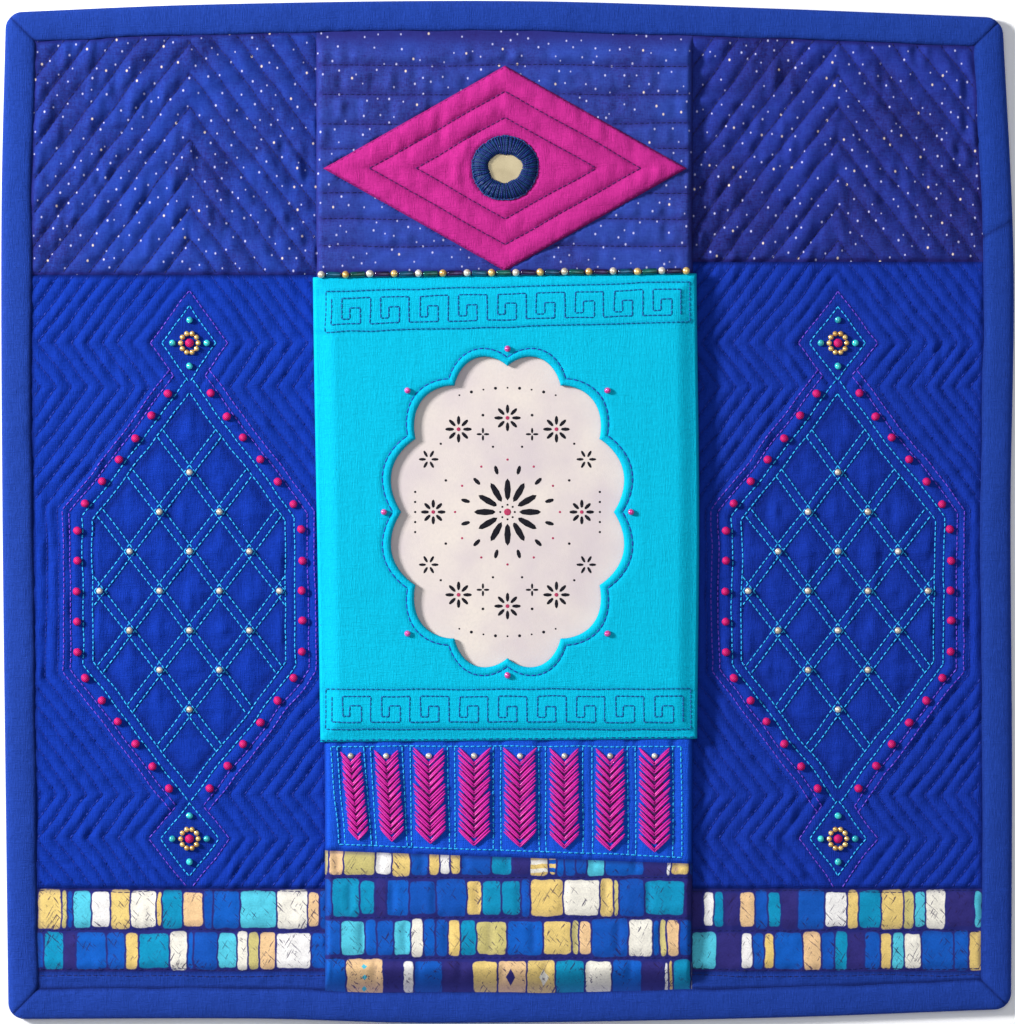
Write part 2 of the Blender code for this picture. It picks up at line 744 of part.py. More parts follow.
def build_front(home):
    lines = []
    for inset in (FLAP_CLOTH, FLAP_CLOTH + FLAP_STEP):
        loop = front_loop(inset, -OVERHANG)
        half = len(loop) // 2
        lines += sides_of(loop)[: half - 1] + sides_of(loop)[half:-1]
    for inset in (FRONT_RISE_WIDTH / 2, FRONT_RISE_WIDTH):
        lines += sides_of(front_loop(inset, inset))
    lines += sides_of(window_loop(RIM_WIDTH))
    bm = cloth_solid(front_loop(), [window_loop()], lines, front_face, front_back)
    add_object("pocket_front", bm, material("turquoise_cloth", (0, 198, 230), 0.8), home)


def build_page(home):
    a, b = PAGE_HALF
    corners = [(a, -b), (a, b), (-a, b), (-a, -b)]
    bm = cloth_solid(corners, [], [], lambda x, y: PAGE_BACK + PAGE_THICK, lambda x, y: PAGE_BACK)
    add_object("page", bm, material("page_paper", (212, 201, 192), 0.9), home)


def main():
    clear_scene()
    home = bpy.data.collections.new("mini_quilt")
    bpy.context.scene.collection.children.link(home)
    build_field(home)
    build_binding(home)
    build_panel(home)
    build_lozenge(home)
    build_mirror(home)
    build_mirror_ring(home)
    build_front(home)
    build_page(home)


main()
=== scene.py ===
"""The looks of the mini quilt: pieced and quilted cloth, its stitching, its beads, and the light on them.

Sizes here are millimetres in the quilt's own frame, and each mesh is turned to metres as it is made.
"""

import math

import bmesh
import bpy
import numpy as np
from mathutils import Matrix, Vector


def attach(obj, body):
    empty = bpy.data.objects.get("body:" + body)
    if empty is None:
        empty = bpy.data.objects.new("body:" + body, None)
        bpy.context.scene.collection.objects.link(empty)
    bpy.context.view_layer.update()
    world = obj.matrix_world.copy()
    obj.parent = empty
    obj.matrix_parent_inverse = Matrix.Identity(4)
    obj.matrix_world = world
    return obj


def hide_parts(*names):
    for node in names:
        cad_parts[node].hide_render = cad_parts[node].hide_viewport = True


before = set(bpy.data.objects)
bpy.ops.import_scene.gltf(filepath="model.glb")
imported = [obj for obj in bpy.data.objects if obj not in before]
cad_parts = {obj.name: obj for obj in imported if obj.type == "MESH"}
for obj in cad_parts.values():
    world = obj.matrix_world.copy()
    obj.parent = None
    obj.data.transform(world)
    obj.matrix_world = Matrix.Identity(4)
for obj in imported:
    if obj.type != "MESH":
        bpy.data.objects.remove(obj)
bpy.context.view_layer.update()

MM = 0.001
BODY = "root"
PHOTO_WIDTH, PHOTO_HEIGHT = 1015, 1024
MM_PER_PIXEL = 0.4

# The quilt's outline, each row a place along the side and then the edge there
TOP_EDGE = ((-200, 199.6), (-120, 202.8), (0, 204.2), (100, 201.4), (200, 197.4))
BOTTOM_EDGE = ((-200, -202.6), (-100, -202.4), (-30, -204.2), (100, -202.2), (200, -198.6))
LEFT_EDGE = ((-200, -199.4), (-120, -200.4), (0, -201.8), (120, -202.2), (200, -200.4))
RIGHT_EDGE = ((-200, 201.2), (-100, 201.6), (0, 201.0), (100, 202.2), (200, 197.6))
CORNER = 200.0

BINDING_WIDTH = 12.0
BINDING_HEIGHT = 4.7
BINDING_STEP = 1.3
UNDER_BINDING = 3.6
BACKING_HEIGHT = 0.12

# The side fields
STAR_SEAM = {-1: 94.8, 1: 100.0}
PRINT_SEAM = -150.5
PRINT_MIDDLE = -167.0
PLAIN_SEAM = -183.6
GROOVE = 2.9
CREST = 4.2
BLUE_CREST = 3.95
FIELD_UNDER_PANEL = 3.2
CLOTH_STEP = 0.82

MEDALLION_X = {-1: -127.0, 1: 132.0}
MEDALLION_Y = -31.5
MEDALLION_HALF = (38.5, 79.0)
LATTICE_LINES = 5
LATTICE_SLOPE = 1.32
LATTICE_PAIR = 1.7
BADGE_RISE = 99.0
BADGE_HALF_HEIGHT = 15.0
ECHO_START = 4.0
ECHO_PITCH = 5.0
STAR_PITCH = 8.0
OUTLINE_PAIR = 3.8
KNOT_OUT = 6.5
PURPLE_OUTS = (9.0, 11.8)
BADGE_PURPLE = 3.6

# The raised panel
PANEL_LEFT = ((-200, -72.8), (-92, -73.2), (95, -76.2), (200, -76.4))
PANEL_RIGHT = ((-200, 73.6), (-92, 74.2), (0, 75.0), (95, 74.0), (200, 74.0))
PANEL_BACK = 3.5
PANEL_FLAT = 7.6
PANEL_GROOVE = 7.2
PANEL_CREST = 8.2
PANEL_ROLL = 2.6
RAMP_FOOT = 189.4
RAMP_HEAD = 181.0
STAR_LINES = (178.0, 166.4, 154.8, 144.8, 136.4, 127.2, 116.8, 106.0)
FLAT_HEAD = 95.7
BAND_FOOT = ((-78, -134.8), (78, -140.4))
PRINT_ROWS = (-145.6, -161.6, -177.6)

LOZENGE_X = -1.0
LOZENGE_Y = 137.0
LOZENGE_HALF = (72.5, 41.0)
LOZENGE_EDGE = 8.5
LOZENGE_GROOVE = 8.7
LOZENGE_CREST = 9.9
LOZENGE_CENTRE = 9.1
LOZENGE_PITCH = 9.0
MIRROR_RADIUS = 9.6

# The pocket front
FRONT_TOP = ((-78, 93.6), (78, 95.2))
FRONT_FOOT = ((-78, -91.8), (78, -90.4))
FRONT_HALF = 76.0
FRONT_TURN = 1.5
FRONT_EDGE = 9.2
FRONT_FACE = 11.4
FRONT_RISE_WIDTH = 9.0
FLAP_FOOT = 5.0
WINDOW_HALF = (42.6, 58.4)
SCALLOPS = 12
SCALLOP_DEPTH = 5.4
PAGE_HALF = (57.0, 74.0)
PAGE_FACE = 8.9

# Thread and beads
STITCH = 2.2
STITCH_GAP = 0.4
THREAD = 0.62
SILVER_BEAD = 1.35
KNOT = 1.65


# Curves and distances, all on arrays


def along(table, places):
    """The smooth line through a short table."""
    knots = np.array([row[0] for row in table], float)
    values = np.array([row[1] for row in table], float)
    places = np.clip(np.asarray(places, float), knots[0], knots[-1])
    k = np.clip(np.searchsorted(knots, places, side="right") - 1, 0, len(knots) - 2)
    low, high = np.maximum(np.arange(len(knots)) - 1, 0), np.minimum(np.arange(len(knots)) + 1, len(knots) - 1)
    slopes = (values[high] - values[low]) / (knots[high] - knots[low])
    span = knots[k + 1] - knots[k]
    u = (places - knots[k]) / span
    rise = values[k + 1] - values[k]
    start, end = slopes[k] * span, slopes[k + 1] * span
    return values[k] + u * start + u * u * (3 * rise - 2 * start - end) + u**3 * (start + end - 2 * rise)


def ease(share):
    share = np.clip(share, 0.0, 1.0)
    return share * share * (3 - 2 * share)


def soft_noise(x, y, cell, seed):
    """Smooth random heights from -1 to 1, with one random value to each cell's corner."""
    values = np.random.default_rng(seed).uniform(-1, 1, (128, 128))
    u, v = np.asarray(x, float) / cell + 64.0, np.asarray(y, float) / cell + 64.0
    i, j = np.floor(u).astype(int), np.floor(v).astype(int)
    a, b = ease(u - i), ease(v - j)
    near = values[i % 128, j % 128] * (1 - a) + values[(i + 1) % 128, j % 128] * a
    far = values[i % 128, (j + 1) % 128] * (1 - a) + values[(i + 1) % 128, (j + 1) % 128] * a
    return near * (1 - b) + far * b


def lozenge_planes(centre, half):
    length = math.hypot(*half)
    across, up = half[1] / length, half[0] / length
    return centre, [(sx * across, sy * up, up * half[1]) for sx in (1, -1) for sy in (1, -1)]


def hexagon_planes(centre, half, slope):
    length = math.hypot(slope, 1.0)
    across, up = slope / length, 1.0 / length
    sides = [(sx * across, sy * up, up * half[1]) for sx in (1, -1) for sy in (1, -1)]
    return centre, sides + [(1.0, 0.0, half[0]), (-1.0, 0.0, half[0])]


def box_planes(left, right, foot, head):
    return (0.0, 0.0), [(1.0, 0.0, right), (-1.0, 0.0, -left), (0.0, 1.0, head), (0.0, -1.0, -foot)]


def depth(shape, x, y):
    """How far out of the shape each point lies, square to its nearest side; under 0 inside."""
    (cx, cy), sides = shape
    return np.max([nx * (x - cx) + ny * (y - cy) - reach for nx, ny, reach in sides], axis=0)


def ring(shape, out):
    """The corners of the shape grown by out, in order round it."""
    (cx, cy), sides = shape
    sides = sorted(sides, key=lambda side: math.atan2(side[1], side[0]))
    corners = []
    for k, (ax, ay, a_reach) in enumerate(sides):
        bx, by, b_reach = sides[(k + 1) % len(sides)]
        turn = ax * by - ay * bx
        a, b = a_reach + out, b_reach + out
        corners.append((cx + (a * by - b * ay) / turn, cy + (ax * b - bx * a) / turn))
    return corners


def sides_of(loop):
    return list(zip(loop, loop[1:] + loop[:1]))


def clip(line, shape, out, inside):
    """The parts of a line inside the grown shape, or those outside it."""
    (x0, y0), (x1, y1) = line
    (cx, cy), sides = shape
    start, end = 0.0, 1.0
    for nx, ny, reach in sides:
        d0 = nx * (x0 - cx) + ny * (y0 - cy) - reach - out
        d1 = nx * (x1 - cx) + ny * (y1 - cy) - reach - out
        if abs(d1 - d0) < 1e-9:
            if d0 > 0:
                start, end = 1.0, 0.0
        elif d1 > d0:
            end = min(end, -d0 / (d1 - d0))
        else:
            start = max(start, d0 / (d0 - d1))
    if end <= start:
        kept = [] if inside else [(0.0, 1.0)]
    else:
        kept = [(start, end)] if inside else [(0.0, start), (end, 1.0)]
    return [
        tuple((x0 + (x1 - x0) * u, y0 + (y1 - y0) * u) for u in (a, b)) for a, b in kept if b - a > 1e-6
    ]


def clip_all(lines, shape, out=0.0, inside=True):
    return [part for line in lines for part in clip(line, shape, out, inside)]


# Materials


def linear(rgb):
    return tuple((c / 255 / 12.92) if c <= 10 else ((c / 255 + 0.055) / 1.055) ** 2.4 for c in rgb)


class Finish:
    """A Principled material and short ways to add its nodes."""

    def __init__(self, name, roughness, **constants):
        self.material = bpy.data.materials.new(name)
        self.material.use_nodes = True
        self.tree = self.material.node_tree
        self.shader = self.tree.nodes["Principled BSDF"]
        self.shader.inputs["Roughness"].default_value = roughness
        for socket, value in constants.items():
            self.shader.inputs[socket.replace("_", " ")].default_value = value
        self.coordinates = self.tree.nodes.new("ShaderNodeTexCoord").outputs["Object"]
        self.place = self.mapped(self.coordinates, (1 / MM, 1 / MM, 1 / MM))

    def link(self, source, socket):
        self.tree.links.new(source, socket)

    def feed(self, socket, value):
        if isinstance(value, bpy.types.NodeSocket):
            self.link(value, socket)
        else:
            socket.default_value = value

    def mapped(self, source, scale, turn=0.0, shift=(0, 0, 0)):
        node = self.tree.nodes.new("ShaderNodeMapping")
        self.link(source, node.inputs["Vector"])
        node.inputs["Scale"].default_value = scale
        node.inputs["Rotation"].default_value = (0, 0, turn)
        node.inputs["Location"].default_value = shift
        return node.outputs["Vector"]

    def math(self, operation, *values, clamp=False):
        node = self.tree.nodes.new("ShaderNodeMath")
        node.operation = operation
        node.use_clamp = clamp
        for socket, value in zip(node.inputs, values):
            self.feed(socket, value)
        return node.outputs[0]

    def split(self, source):
        node = self.tree.nodes.new("ShaderNodeSeparateXYZ")
        self.link(source, node.inputs[0])
        return node.outputs[0], node.outputs[1]

    def joined(self, x, y):
        node = self.tree.nodes.new("ShaderNodeCombineXYZ")
        self.feed(node.inputs[0], x)
        self.feed(node.inputs[1], y)
        return node.outputs[0]

    def noise(self, scale, detail=2.0, source=None):
        node = self.tree.nodes.new("ShaderNodeTexNoise")
        self.link(source or self.place, node.inputs["Vector"])
        node.inputs["Scale"].default_value = scale
        node.inputs["Detail"].default_value = detail
        return node.outputs["Fac"]

    def wave(self, period, direction, source=None):
        node = self.tree.nodes.new("ShaderNodeTexWave")
        node.bands_direction = direction
        self.link(source or self.place, node.inputs["Vector"])
        node.inputs["Scale"].default_value = math.tau / 20 / period
        node.inputs["Distortion"].default_value = 0.6
        node.inputs["Detail"].default_value = 1.0
        return node.outputs["Fac"]

    def random(self, vector):
        node = self.tree.nodes.new("ShaderNodeTexWhiteNoise")
        node.noise_dimensions = "2D"
        self.link(vector, node.inputs["Vector"])
        return node.outputs["Value"], node.outputs["Color"]

    def cells(self, scale, source=None, randomness=1.0):
        node = self.tree.nodes.new("ShaderNodeTexVoronoi")
        node.voronoi_dimensions = "2D"
        self.link(source or self.place, node.inputs["Vector"])
        node.inputs["Scale"].default_value = scale
        node.inputs["Randomness"].default_value = randomness
        return node.outputs["Distance"], node.outputs["Color"]

    def strips(self, run, randomness):
        """Uneven strips along a run: each one's middle and colour, and how far its edge is."""
        found = []
        for feature in ("F1", "DISTANCE_TO_EDGE"):
            node = self.tree.nodes.new("ShaderNodeTexVoronoi")
            node.voronoi_dimensions = "1D"
            node.feature = feature
            self.link(run, node.inputs["W"])
            node.inputs["Scale"].default_value = 1.0
            node.inputs["Randomness"].default_value = randomness
            found.append(node)
        return found[0].outputs["W"], found[0].outputs["Color"], found[1].outputs["Distance"]

    def scratches(self, turn):
        turned = self.mapped(self.place, (1.0, 1.0, 1.0), turn)
        fine = self.noise(1.0, 4.0, self.mapped(turned, (1.5, 0.16, 1.0)))
        return self.range(fine, 0.61, 0.65)

    def ramp(self, source, stops, constant=False):
        node = self.tree.nodes.new("ShaderNodeValToRGB")
        node.color_ramp.interpolation = "CONSTANT" if constant else "LINEAR"
        elements = node.color_ramp.elements
        while len(elements) < len(stops):
            elements.new(0.5)
        for element, (position, colour) in zip(elements, stops):
            element.position = position
            element.color = (*colour, 1.0)
        self.link(source, node.inputs["Fac"])
        return node.outputs["Color"]

    def range(self, source, low, high, to_low=0.0, to_high=1.0):
        node = self.tree.nodes.new("ShaderNodeMapRange")
        node.clamp = True
        for socket, value in zip(node.inputs, (source, low, high, to_low, to_high)):
            self.feed(socket, value)
        return node.outputs[0]

    def mix(self, share, a, b, blend="MIX"):
        node = self.tree.nodes.new("ShaderNodeMix")
        node.data_type = "RGBA"
        node.blend_type = blend
        sockets = [s for s in node.inputs if s.type == "RGBA"]
        self.feed(node.inputs[0], share)
        self.feed(sockets[0], (*a, 1.0) if isinstance(a, tuple) else a)
        self.feed(sockets[1], (*b, 1.0) if isinstance(b, tuple) else b)
        return next(s for s in node.outputs if s.type == "RGBA")

    def attribute(self, name):
        node = self.tree.nodes.new("ShaderNodeAttribute")
        node.attribute_name = name
        return node.outputs["Fac"]

    def colour(self, value):
        self.feed(self.shader.inputs["Base Color"], (*value, 1.0) if isinstance(value, tuple) else value)

    def bump(self, height, distance, strength=1.0):
        node = self.tree.nodes.new("ShaderNodeBump")
        node.inputs["Strength"].default_value = strength
        node.inputs["Distance"].default_value = distance * MM
        self.link(height, node.inputs["Height"])
        self.link(node.outputs[0], self.shader.inputs["Normal"])


def weave_height(finish, pitch):
    """Crossing threads with slubs, from 0 to 1."""
    wobble = finish.noise(0.5, 3.0)
    warp, weft = finish.wave(pitch, "X"), finish.wave(pitch * 1.08, "Y")
    threads = finish.math("MULTIPLY", warp, weft)
    return finish.math("ADD", finish.math("MULTIPLY", threads, 0.7), finish.math("MULTIPLY", wobble, 0.6))


def slubs(finish):
    """Thicker threads that run a little way along and across, from 0 to 1."""
    along_x = finish.noise(1.0, 3.0, finish.mapped(finish.place, (0.28, 2.1, 1.0)))
    along_y = finish.noise(1.0, 3.0, finish.mapped(finish.place, (2.1, 0.28, 1.0), shift=(9.0, 5.0, 0.0)))
    return finish.range(finish.math("ADD", along_x, along_y), 0.78, 1.22)


def cotton(name, rgb, dark, weave=0.42, mottle=0.1, roughness=0.82, sheen=0.0, relief=0.2):
    """Plain woven cotton: mottled dye, fibre fuzz, crossing threads, and painted shade that darkens it in its folds,
    grooves and seams.
    """
    finish = Finish(name, roughness, Sheen_Weight=sheen, Specular_IOR_Level=0.08)
    base, dark_dye_and_shade = linear(rgb), linear(dark)
    cloudy = finish.range(finish.noise(0.05, 4.0), 0.3, 0.7)
    streaks = finish.range(finish.noise(1.6, 3.0), 0.25, 0.75)
    lift = finish.mix(finish.math("MULTIPLY", cloudy, mottle * 2), base, tuple(min(1.0, c * 1.35) for c in base))
    dull = finish.mix(finish.math("MULTIPLY", streaks, mottle * 1.6), lift, dark_dye_and_shade)
    threads = slubs(finish)
    dull = finish.mix(finish.math("MULTIPLY", threads, mottle * 2.2), dull, tuple(min(1.0, c * 1.5 + 0.004) for c in base))
    # Painted shade: the colour is pulled towards its dark tone where the mesh marks grooves, seams and folds.
    painted_shade = finish.math("MULTIPLY", finish.attribute("painted_shade"), 0.85)
    finish.colour(finish.mix(painted_shade, dull, dark_dye_and_shade))
    height = finish.math("ADD", weave_height(finish, weave), finish.math("MULTIPLY", threads, 0.8))
    finish.bump(height, relief)
    return finish.material


def star_cotton(name, rgb, bright, dark):
    """Indigo cotton, cloudily dyed, with pale pin dots of mixed sizes, and painted shade in its grooves and seams."""
    finish = Finish(name, 0.85, Specular_IOR_Level=0.08)
    base, light, dark_dye_and_shade = linear(rgb), linear(bright), linear(dark)
    clouds = finish.range(finish.noise(0.03, 5.0), 0.4, 0.6)
    fibres = finish.range(finish.noise(1.2, 4.0), 0.3, 0.72)
    ground = finish.mix(clouds, dark_dye_and_shade, base)
    threads = slubs(finish)
    ground = finish.mix(finish.math("MULTIPLY", fibres, 0.35), ground, light)
    ground = finish.mix(finish.math("MULTIPLY", threads, 0.35), ground, light)
    scatter = finish.mapped(finish.place, (1.06, 0.84, 1.0), 0.7)
    distance, tone = finish.cells(1 / 5.4, scatter, 0.78)
    pick, size = finish.split(tone)
    radius = finish.range(size, 0.0, 1.0, 0.0, 0.035)
    dot = finish.range(distance, finish.math("ADD", radius, 0.075), radius)
    shown = finish.math("MULTIPLY", dot, finish.math("GREATER_THAN", pick, 0.16))
    pale = finish.mix(finish.math("GREATER_THAN", size, 0.86), linear((204, 202, 240)), linear((246, 222, 196)))
    # Painted shade: darker in the quilting's grooves and at seams.
    ground = finish.mix(finish.math("MULTIPLY", finish.attribute("painted_shade"), 0.8), ground, dark_dye_and_shade)
    finish.colour(finish.mix(finish.math("MULTIPLY", shown, 0.82), ground, pale))
    finish.bump(weave_height(finish, 0.42), 0.12)
    return finish.material


PRINT_COLOURS = (
    (20, 82, 178), (230, 200, 122), (204, 192, 124), (18, 92, 190), (240, 238, 236), (84, 196, 220),
    (16, 142, 186), (234, 196, 148), (20, 86, 182), (228, 200, 124), (238, 234, 222), (50, 46, 118),
)
PRINT_BLOCK = 11.6


def block_print(name, row_height, first_row):
    """A generic print of blocks in rows on dark indigo: some hold a lozenge, three specks or level stripes."""
    finish = Finish(name, 0.85, Specular_IOR_Level=0.08)
    wobble = finish.math("MULTIPLY", finish.math("SUBTRACT", finish.noise(0.2, 3.0), 0.5), 1.7)
    x, y = finish.split(finish.place)
    x, y = finish.math("ADD", x, wobble), finish.math("ADD", y, wobble)
    row_place = finish.math("DIVIDE", finish.math("SUBTRACT", y, first_row), row_height)
    row = finish.math("FLOOR", row_place)
    up = finish.math("SUBTRACT", finish.math("SUBTRACT", row_place, row), 0.5)
    up = finish.math("ABSOLUTE", finish.math("MULTIPLY", up, row_height))
    run = finish.math("ADD", finish.math("DIVIDE", x, PRINT_BLOCK), finish.math("MULTIPLY", row, 57.3))
    middle, tone, verge = finish.strips(run, 0.8)
    beside = finish.math("MULTIPLY", finish.math("ABSOLUTE", finish.math("SUBTRACT", run, middle)), PRINT_BLOCK)
    pick, motif = finish.split(tone)
    other = finish.math("FRACT", finish.math("MULTIPLY", motif, 17.0))
    parted = finish.math("GREATER_THAN", finish.math("FRACT", finish.math("MULTIPLY", pick, 41.0)), 0.5)
    second = finish.math("MULTIPLY", parted, finish.math("GREATER_THAN", run, middle))
    pick = finish.math("FRACT", finish.math("ADD", pick, finish.math("MULTIPLY", second, 0.42)))
    edge_x = finish.math("MULTIPLY", verge, PRINT_BLOCK)
    whole = finish.math("MULTIPLY", finish.math("SUBTRACT", 1.0, parted), 9.0)
    edge_x = finish.math("MINIMUM", edge_x, finish.math("ADD", beside, whole))
    short = finish.math("MULTIPLY", finish.math("FRACT", finish.math("MULTIPLY", pick, 29.0)), 1.2)
    edge_y = finish.math("SUBTRACT", finish.math("SUBTRACT", row_height / 2, up), short)
    inside = finish.range(finish.math("SMOOTH_MIN", edge_x, edge_y, 2.4), 0.2, 0.5)
    stops = [(k / len(PRINT_COLOURS), linear(c)) for k, c in enumerate(PRINT_COLOURS)]
    ground = finish.ramp(pick, stops, constant=True)
    accent = finish.ramp(other, stops, constant=True)
    lozenge_share = finish.range(finish.math("ADD", beside, finish.math("MULTIPLY", up, 0.55)), 2.1, 1.8)
    specks = finish.math("ADD", beside, finish.math("PINGPONG", up, 2.3))
    specks = finish.math("MULTIPLY", finish.range(specks, 1.25, 1.0), finish.math("LESS_THAN", up, 6.6))
    stripes = finish.range(finish.math("PINGPONG", up, 1.7), 0.95, 0.75)
    figure = finish.math("MULTIPLY", lozenge_share, finish.math("GREATER_THAN", motif, 0.86))
    figure = finish.math("ADD", figure, finish.math("MULTIPLY", specks, finish.math("LESS_THAN", motif, 0.12)))
    figure = finish.math("MULTIPLY", figure, finish.math("SUBTRACT", 1.0, parted))
    banded = finish.math("COMPARE", motif, 0.35, 0.04)
    figure = finish.math("ADD", figure, finish.math("MULTIPLY", stripes, banded), clamp=True)
    ground = finish.mix(figure, ground, accent)
    worn = finish.range(finish.noise(1.6, 3.0), 0.3, 0.66, 0.9, 1.0)
    ground = finish.mix(1.0, ground, finish.ramp(worn, [(0.8, (0.62, 0.62, 0.66)), (1.0, (1.0, 1.0, 1.0))]), "MULTIPLY")
    scratches = finish.math("MAXIMUM", finish.scratches(0.5), finish.scratches(-0.75))
    scratches = finish.math("MULTIPLY", scratches, finish.range(finish.noise(0.12, 2.0), 0.42, 0.56, 0.0, 0.85))
    ground = finish.mix(scratches, ground, linear((40, 30, 76)))
    printed = finish.mix(inside, linear((40, 42, 116)), ground)
    # Painted shade: the print turns dark indigo in the quilting's grooves and at seams.
    finish.colour(finish.mix(finish.math("MULTIPLY", finish.attribute("painted_shade"), 0.7), printed, linear((24, 30, 92))))
    finish.bump(weave_height(finish, 0.42), 0.12)
    return finish.material


def thread(name, rgb, dark, roughness=0.5):
    """Twisted embroidery thread, lighter where its strands turn up."""
    finish = Finish(name, roughness, Specular_IOR_Level=0.22)
    turned = finish.mapped(finish.coordinates, (1 / MM, 1 / MM, 1 / MM), 0.8)
    strands = finish.wave(0.5, "X", turned)
    tint = finish.range(finish.noise(0.7, 2.0), 0.3, 0.7)
    mixed = finish.mix(finish.math("MULTIPLY", strands, 0.55), linear(rgb), linear(dark))
    finish.colour(finish.mix(finish.math("MULTIPLY", tint, 0.35), mixed, linear(dark)))
    finish.bump(strands, 0.08)
    return finish.material


def bead_finish(name, rgb, tint, metallic, roughness):
    """Glossy or silver-lined glass, a little different from bead to bead."""
    finish = Finish(name, roughness, Metallic=metallic, Coat_Weight=0.6, Coat_Roughness=0.08)
    patch = finish.range(finish.noise(0.3, 1.0), 0.35, 0.65)
    finish.colour(finish.mix(patch, linear(rgb), linear(tint)))
    finish.bump(finish.noise(1.5, 1.0), 0.05)
    return finish.material


def page_finish():
    """Pale, faintly clouded sheet with a soft tooth."""
    finish = Finish("page_sheet", 0.92, Specular_IOR_Level=0.2)
    clouds = finish.range(finish.noise(0.045, 5.0), 0.3, 0.7)
    flecks = finish.range(finish.noise(0.8, 6.0), 0.42, 0.7)
    ground = finish.mix(clouds, linear((216, 206, 198)), linear((198, 186, 190)))
    finish.colour(finish.mix(finish.math("MULTIPLY", flecks, 0.3), ground, linear((196, 188, 186))))
    finish.bump(finish.noise(2.4, 5.0), 0.06)
    return finish.material


def mirror_finish():
    finish = Finish("mirror_face", 0.25, Metallic=0.2, Specular_IOR_Level=0.5)
    # Painted reflection: the glass gets a cream, clouded base colour in place of what it mirrors, over a weak metallic
    # finish.
    clouds = finish.range(finish.noise(0.16, 4.0), 0.3, 0.7)
    finish.colour(finish.mix(clouds, linear((182, 168, 134)), linear((160, 146, 114))))
    finish.bump(finish.noise(0.25, 2.0), 0.1)
    return finish.material


def floor_finish():
    finish = Finish("floor_white", 0.9, Specular_IOR_Level=0.1)
    clouds = finish.noise(0.01, 2.0)
    finish.colour(finish.mix(clouds, linear((250, 250, 252)), linear((246, 247, 250))))
    return finish.material


# Cloth made from grids


def finish_piece(name, mesh, material, replaced=()):
    """Gives the mesh its material, shades it smooth and hangs it on the quilt."""
    mesh.materials.append(material)
    mesh.shade_smooth()
    piece = bpy.data.objects.new(name, mesh)
    bpy.context.scene.collection.objects.link(piece)
    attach(piece, BODY)
    if replaced:
        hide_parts(*replaced)
    return piece


def grid_mesh(name, columns, rows, shape, wrap=False):
    """A grid whose points shape() moves: it takes u and v from 0 to 1 and gives x, y, z and the painted shade there,
    which darkens the cloth in its grooves, seams and tucks.
    """
    bm = bmesh.new()
    bmesh.ops.create_grid(bm, x_segments=columns, y_segments=rows, size=0.5)
    mesh = bpy.data.meshes.new(name)
    bm.to_mesh(mesh)
    bm.free()
    flat = np.empty(len(mesh.vertices) * 3, np.float32)
    mesh.vertices.foreach_get("co", flat)
    u, v = flat.reshape(-1, 3)[:, 0] + 0.5, flat.reshape(-1, 3)[:, 1] + 0.5
    x, y, z, painted_fold_shade = shape(u, v)
    mesh.vertices.foreach_set("co", (np.stack([x, y, z], axis=1) * MM).astype(np.float32).reshape(-1))
    # Painted shade: stored on each point so the cloth materials darken the colour where shade falls.
    painted_shade = mesh.attributes.new("painted_shade", "FLOAT", "POINT")
    painted_shade.data.foreach_set("value", np.clip(painted_fold_shade, 0, 1).astype(np.float32))
    if wrap:
        bm = bmesh.new()
        bm.from_mesh(mesh)
        bmesh.ops.remove_doubles(bm, verts=bm.verts[:], dist=0.02 * MM)
        bm.to_mesh(mesh)
        bm.free()
    mesh.update()
    return mesh


def between(u, v, left, right, foot, head):
    """The point of a patch whose four sides are lines that bend."""
    y = np.full_like(u, 0.0)
    x = np.full_like(u, 0.0)
    for _ in range(4):
        x = left(y) + (right(y) - left(y)) * u
        y = foot(x) + (head(x) - foot(x)) * v
    return x, y


def level(value):
    return lambda place: np.full_like(np.asarray(place, float), value)


def edge(table, shift=0.0):
    return lambda place: along(table, place) + shift


def spread(u, strength=0.0):
    """Draws grid lines towards both edges, where cloth turns over."""
    return u - strength * np.sin(2 * math.pi * u) / (2 * math.pi)


def cloth_patch(name, material, sides, face, replaced=(), step=CLOTH_STEP, draw=0.0):
    left, right, foot, head = sides
    zero = np.zeros(1)
    width = float((right(zero) - left(zero))[0])
    middle = (left(zero) + right(zero)) / 2
    height = float((head(middle) - foot(middle))[0])

    def shape(u, v):
        x, y = between(spread(u, draw), v, left, right, foot, head)
        z, painted_fold_shade = face(x, y)
        return x, y, z, painted_fold_shade

    mesh = grid_mesh(name, max(2, round(width / step)), max(2, round(height / step)), shape)
    piece = finish_piece(name, mesh, material, replaced)
    return piece


# The side fields' faces


def side_shapes(side):
    x = MEDALLION_X[side]
    badge_half = (BADGE_HALF_HEIGHT / LATTICE_SLOPE, BADGE_HALF_HEIGHT)
    medallion = hexagon_planes((x, MEDALLION_Y), MEDALLION_HALF, LATTICE_SLOPE)
    badges = [lozenge_planes((x, MEDALLION_Y + rise), badge_half) for rise in (BADGE_RISE, -BADGE_RISE)]
    return [medallion, *badges]


def puff(share):
    return np.abs(np.sin(np.pi * share)) ** 0.62


def hand_sway(x, y, seed=5):
    """How far hand-guided stitching strays from its drawn line."""
    return 0.62 * soft_noise(x, y, 17.0, seed) + 0.28 * soft_noise(x, y, 6.5, seed + 1)


def pucker(x, y, rise, seed, strength=0.42):
    """Small puckers that the stitches draw up beside them."""
    near = 0.4 + 0.6 * (1 - rise)
    ripples = soft_noise(x, y, 4.4, seed) * 0.6 + soft_noise(x, y, 2.3, seed + 1) * 0.45
    return strength * near * ripples + 0.24 * soft_noise(x, y, 8.0, seed + 2)


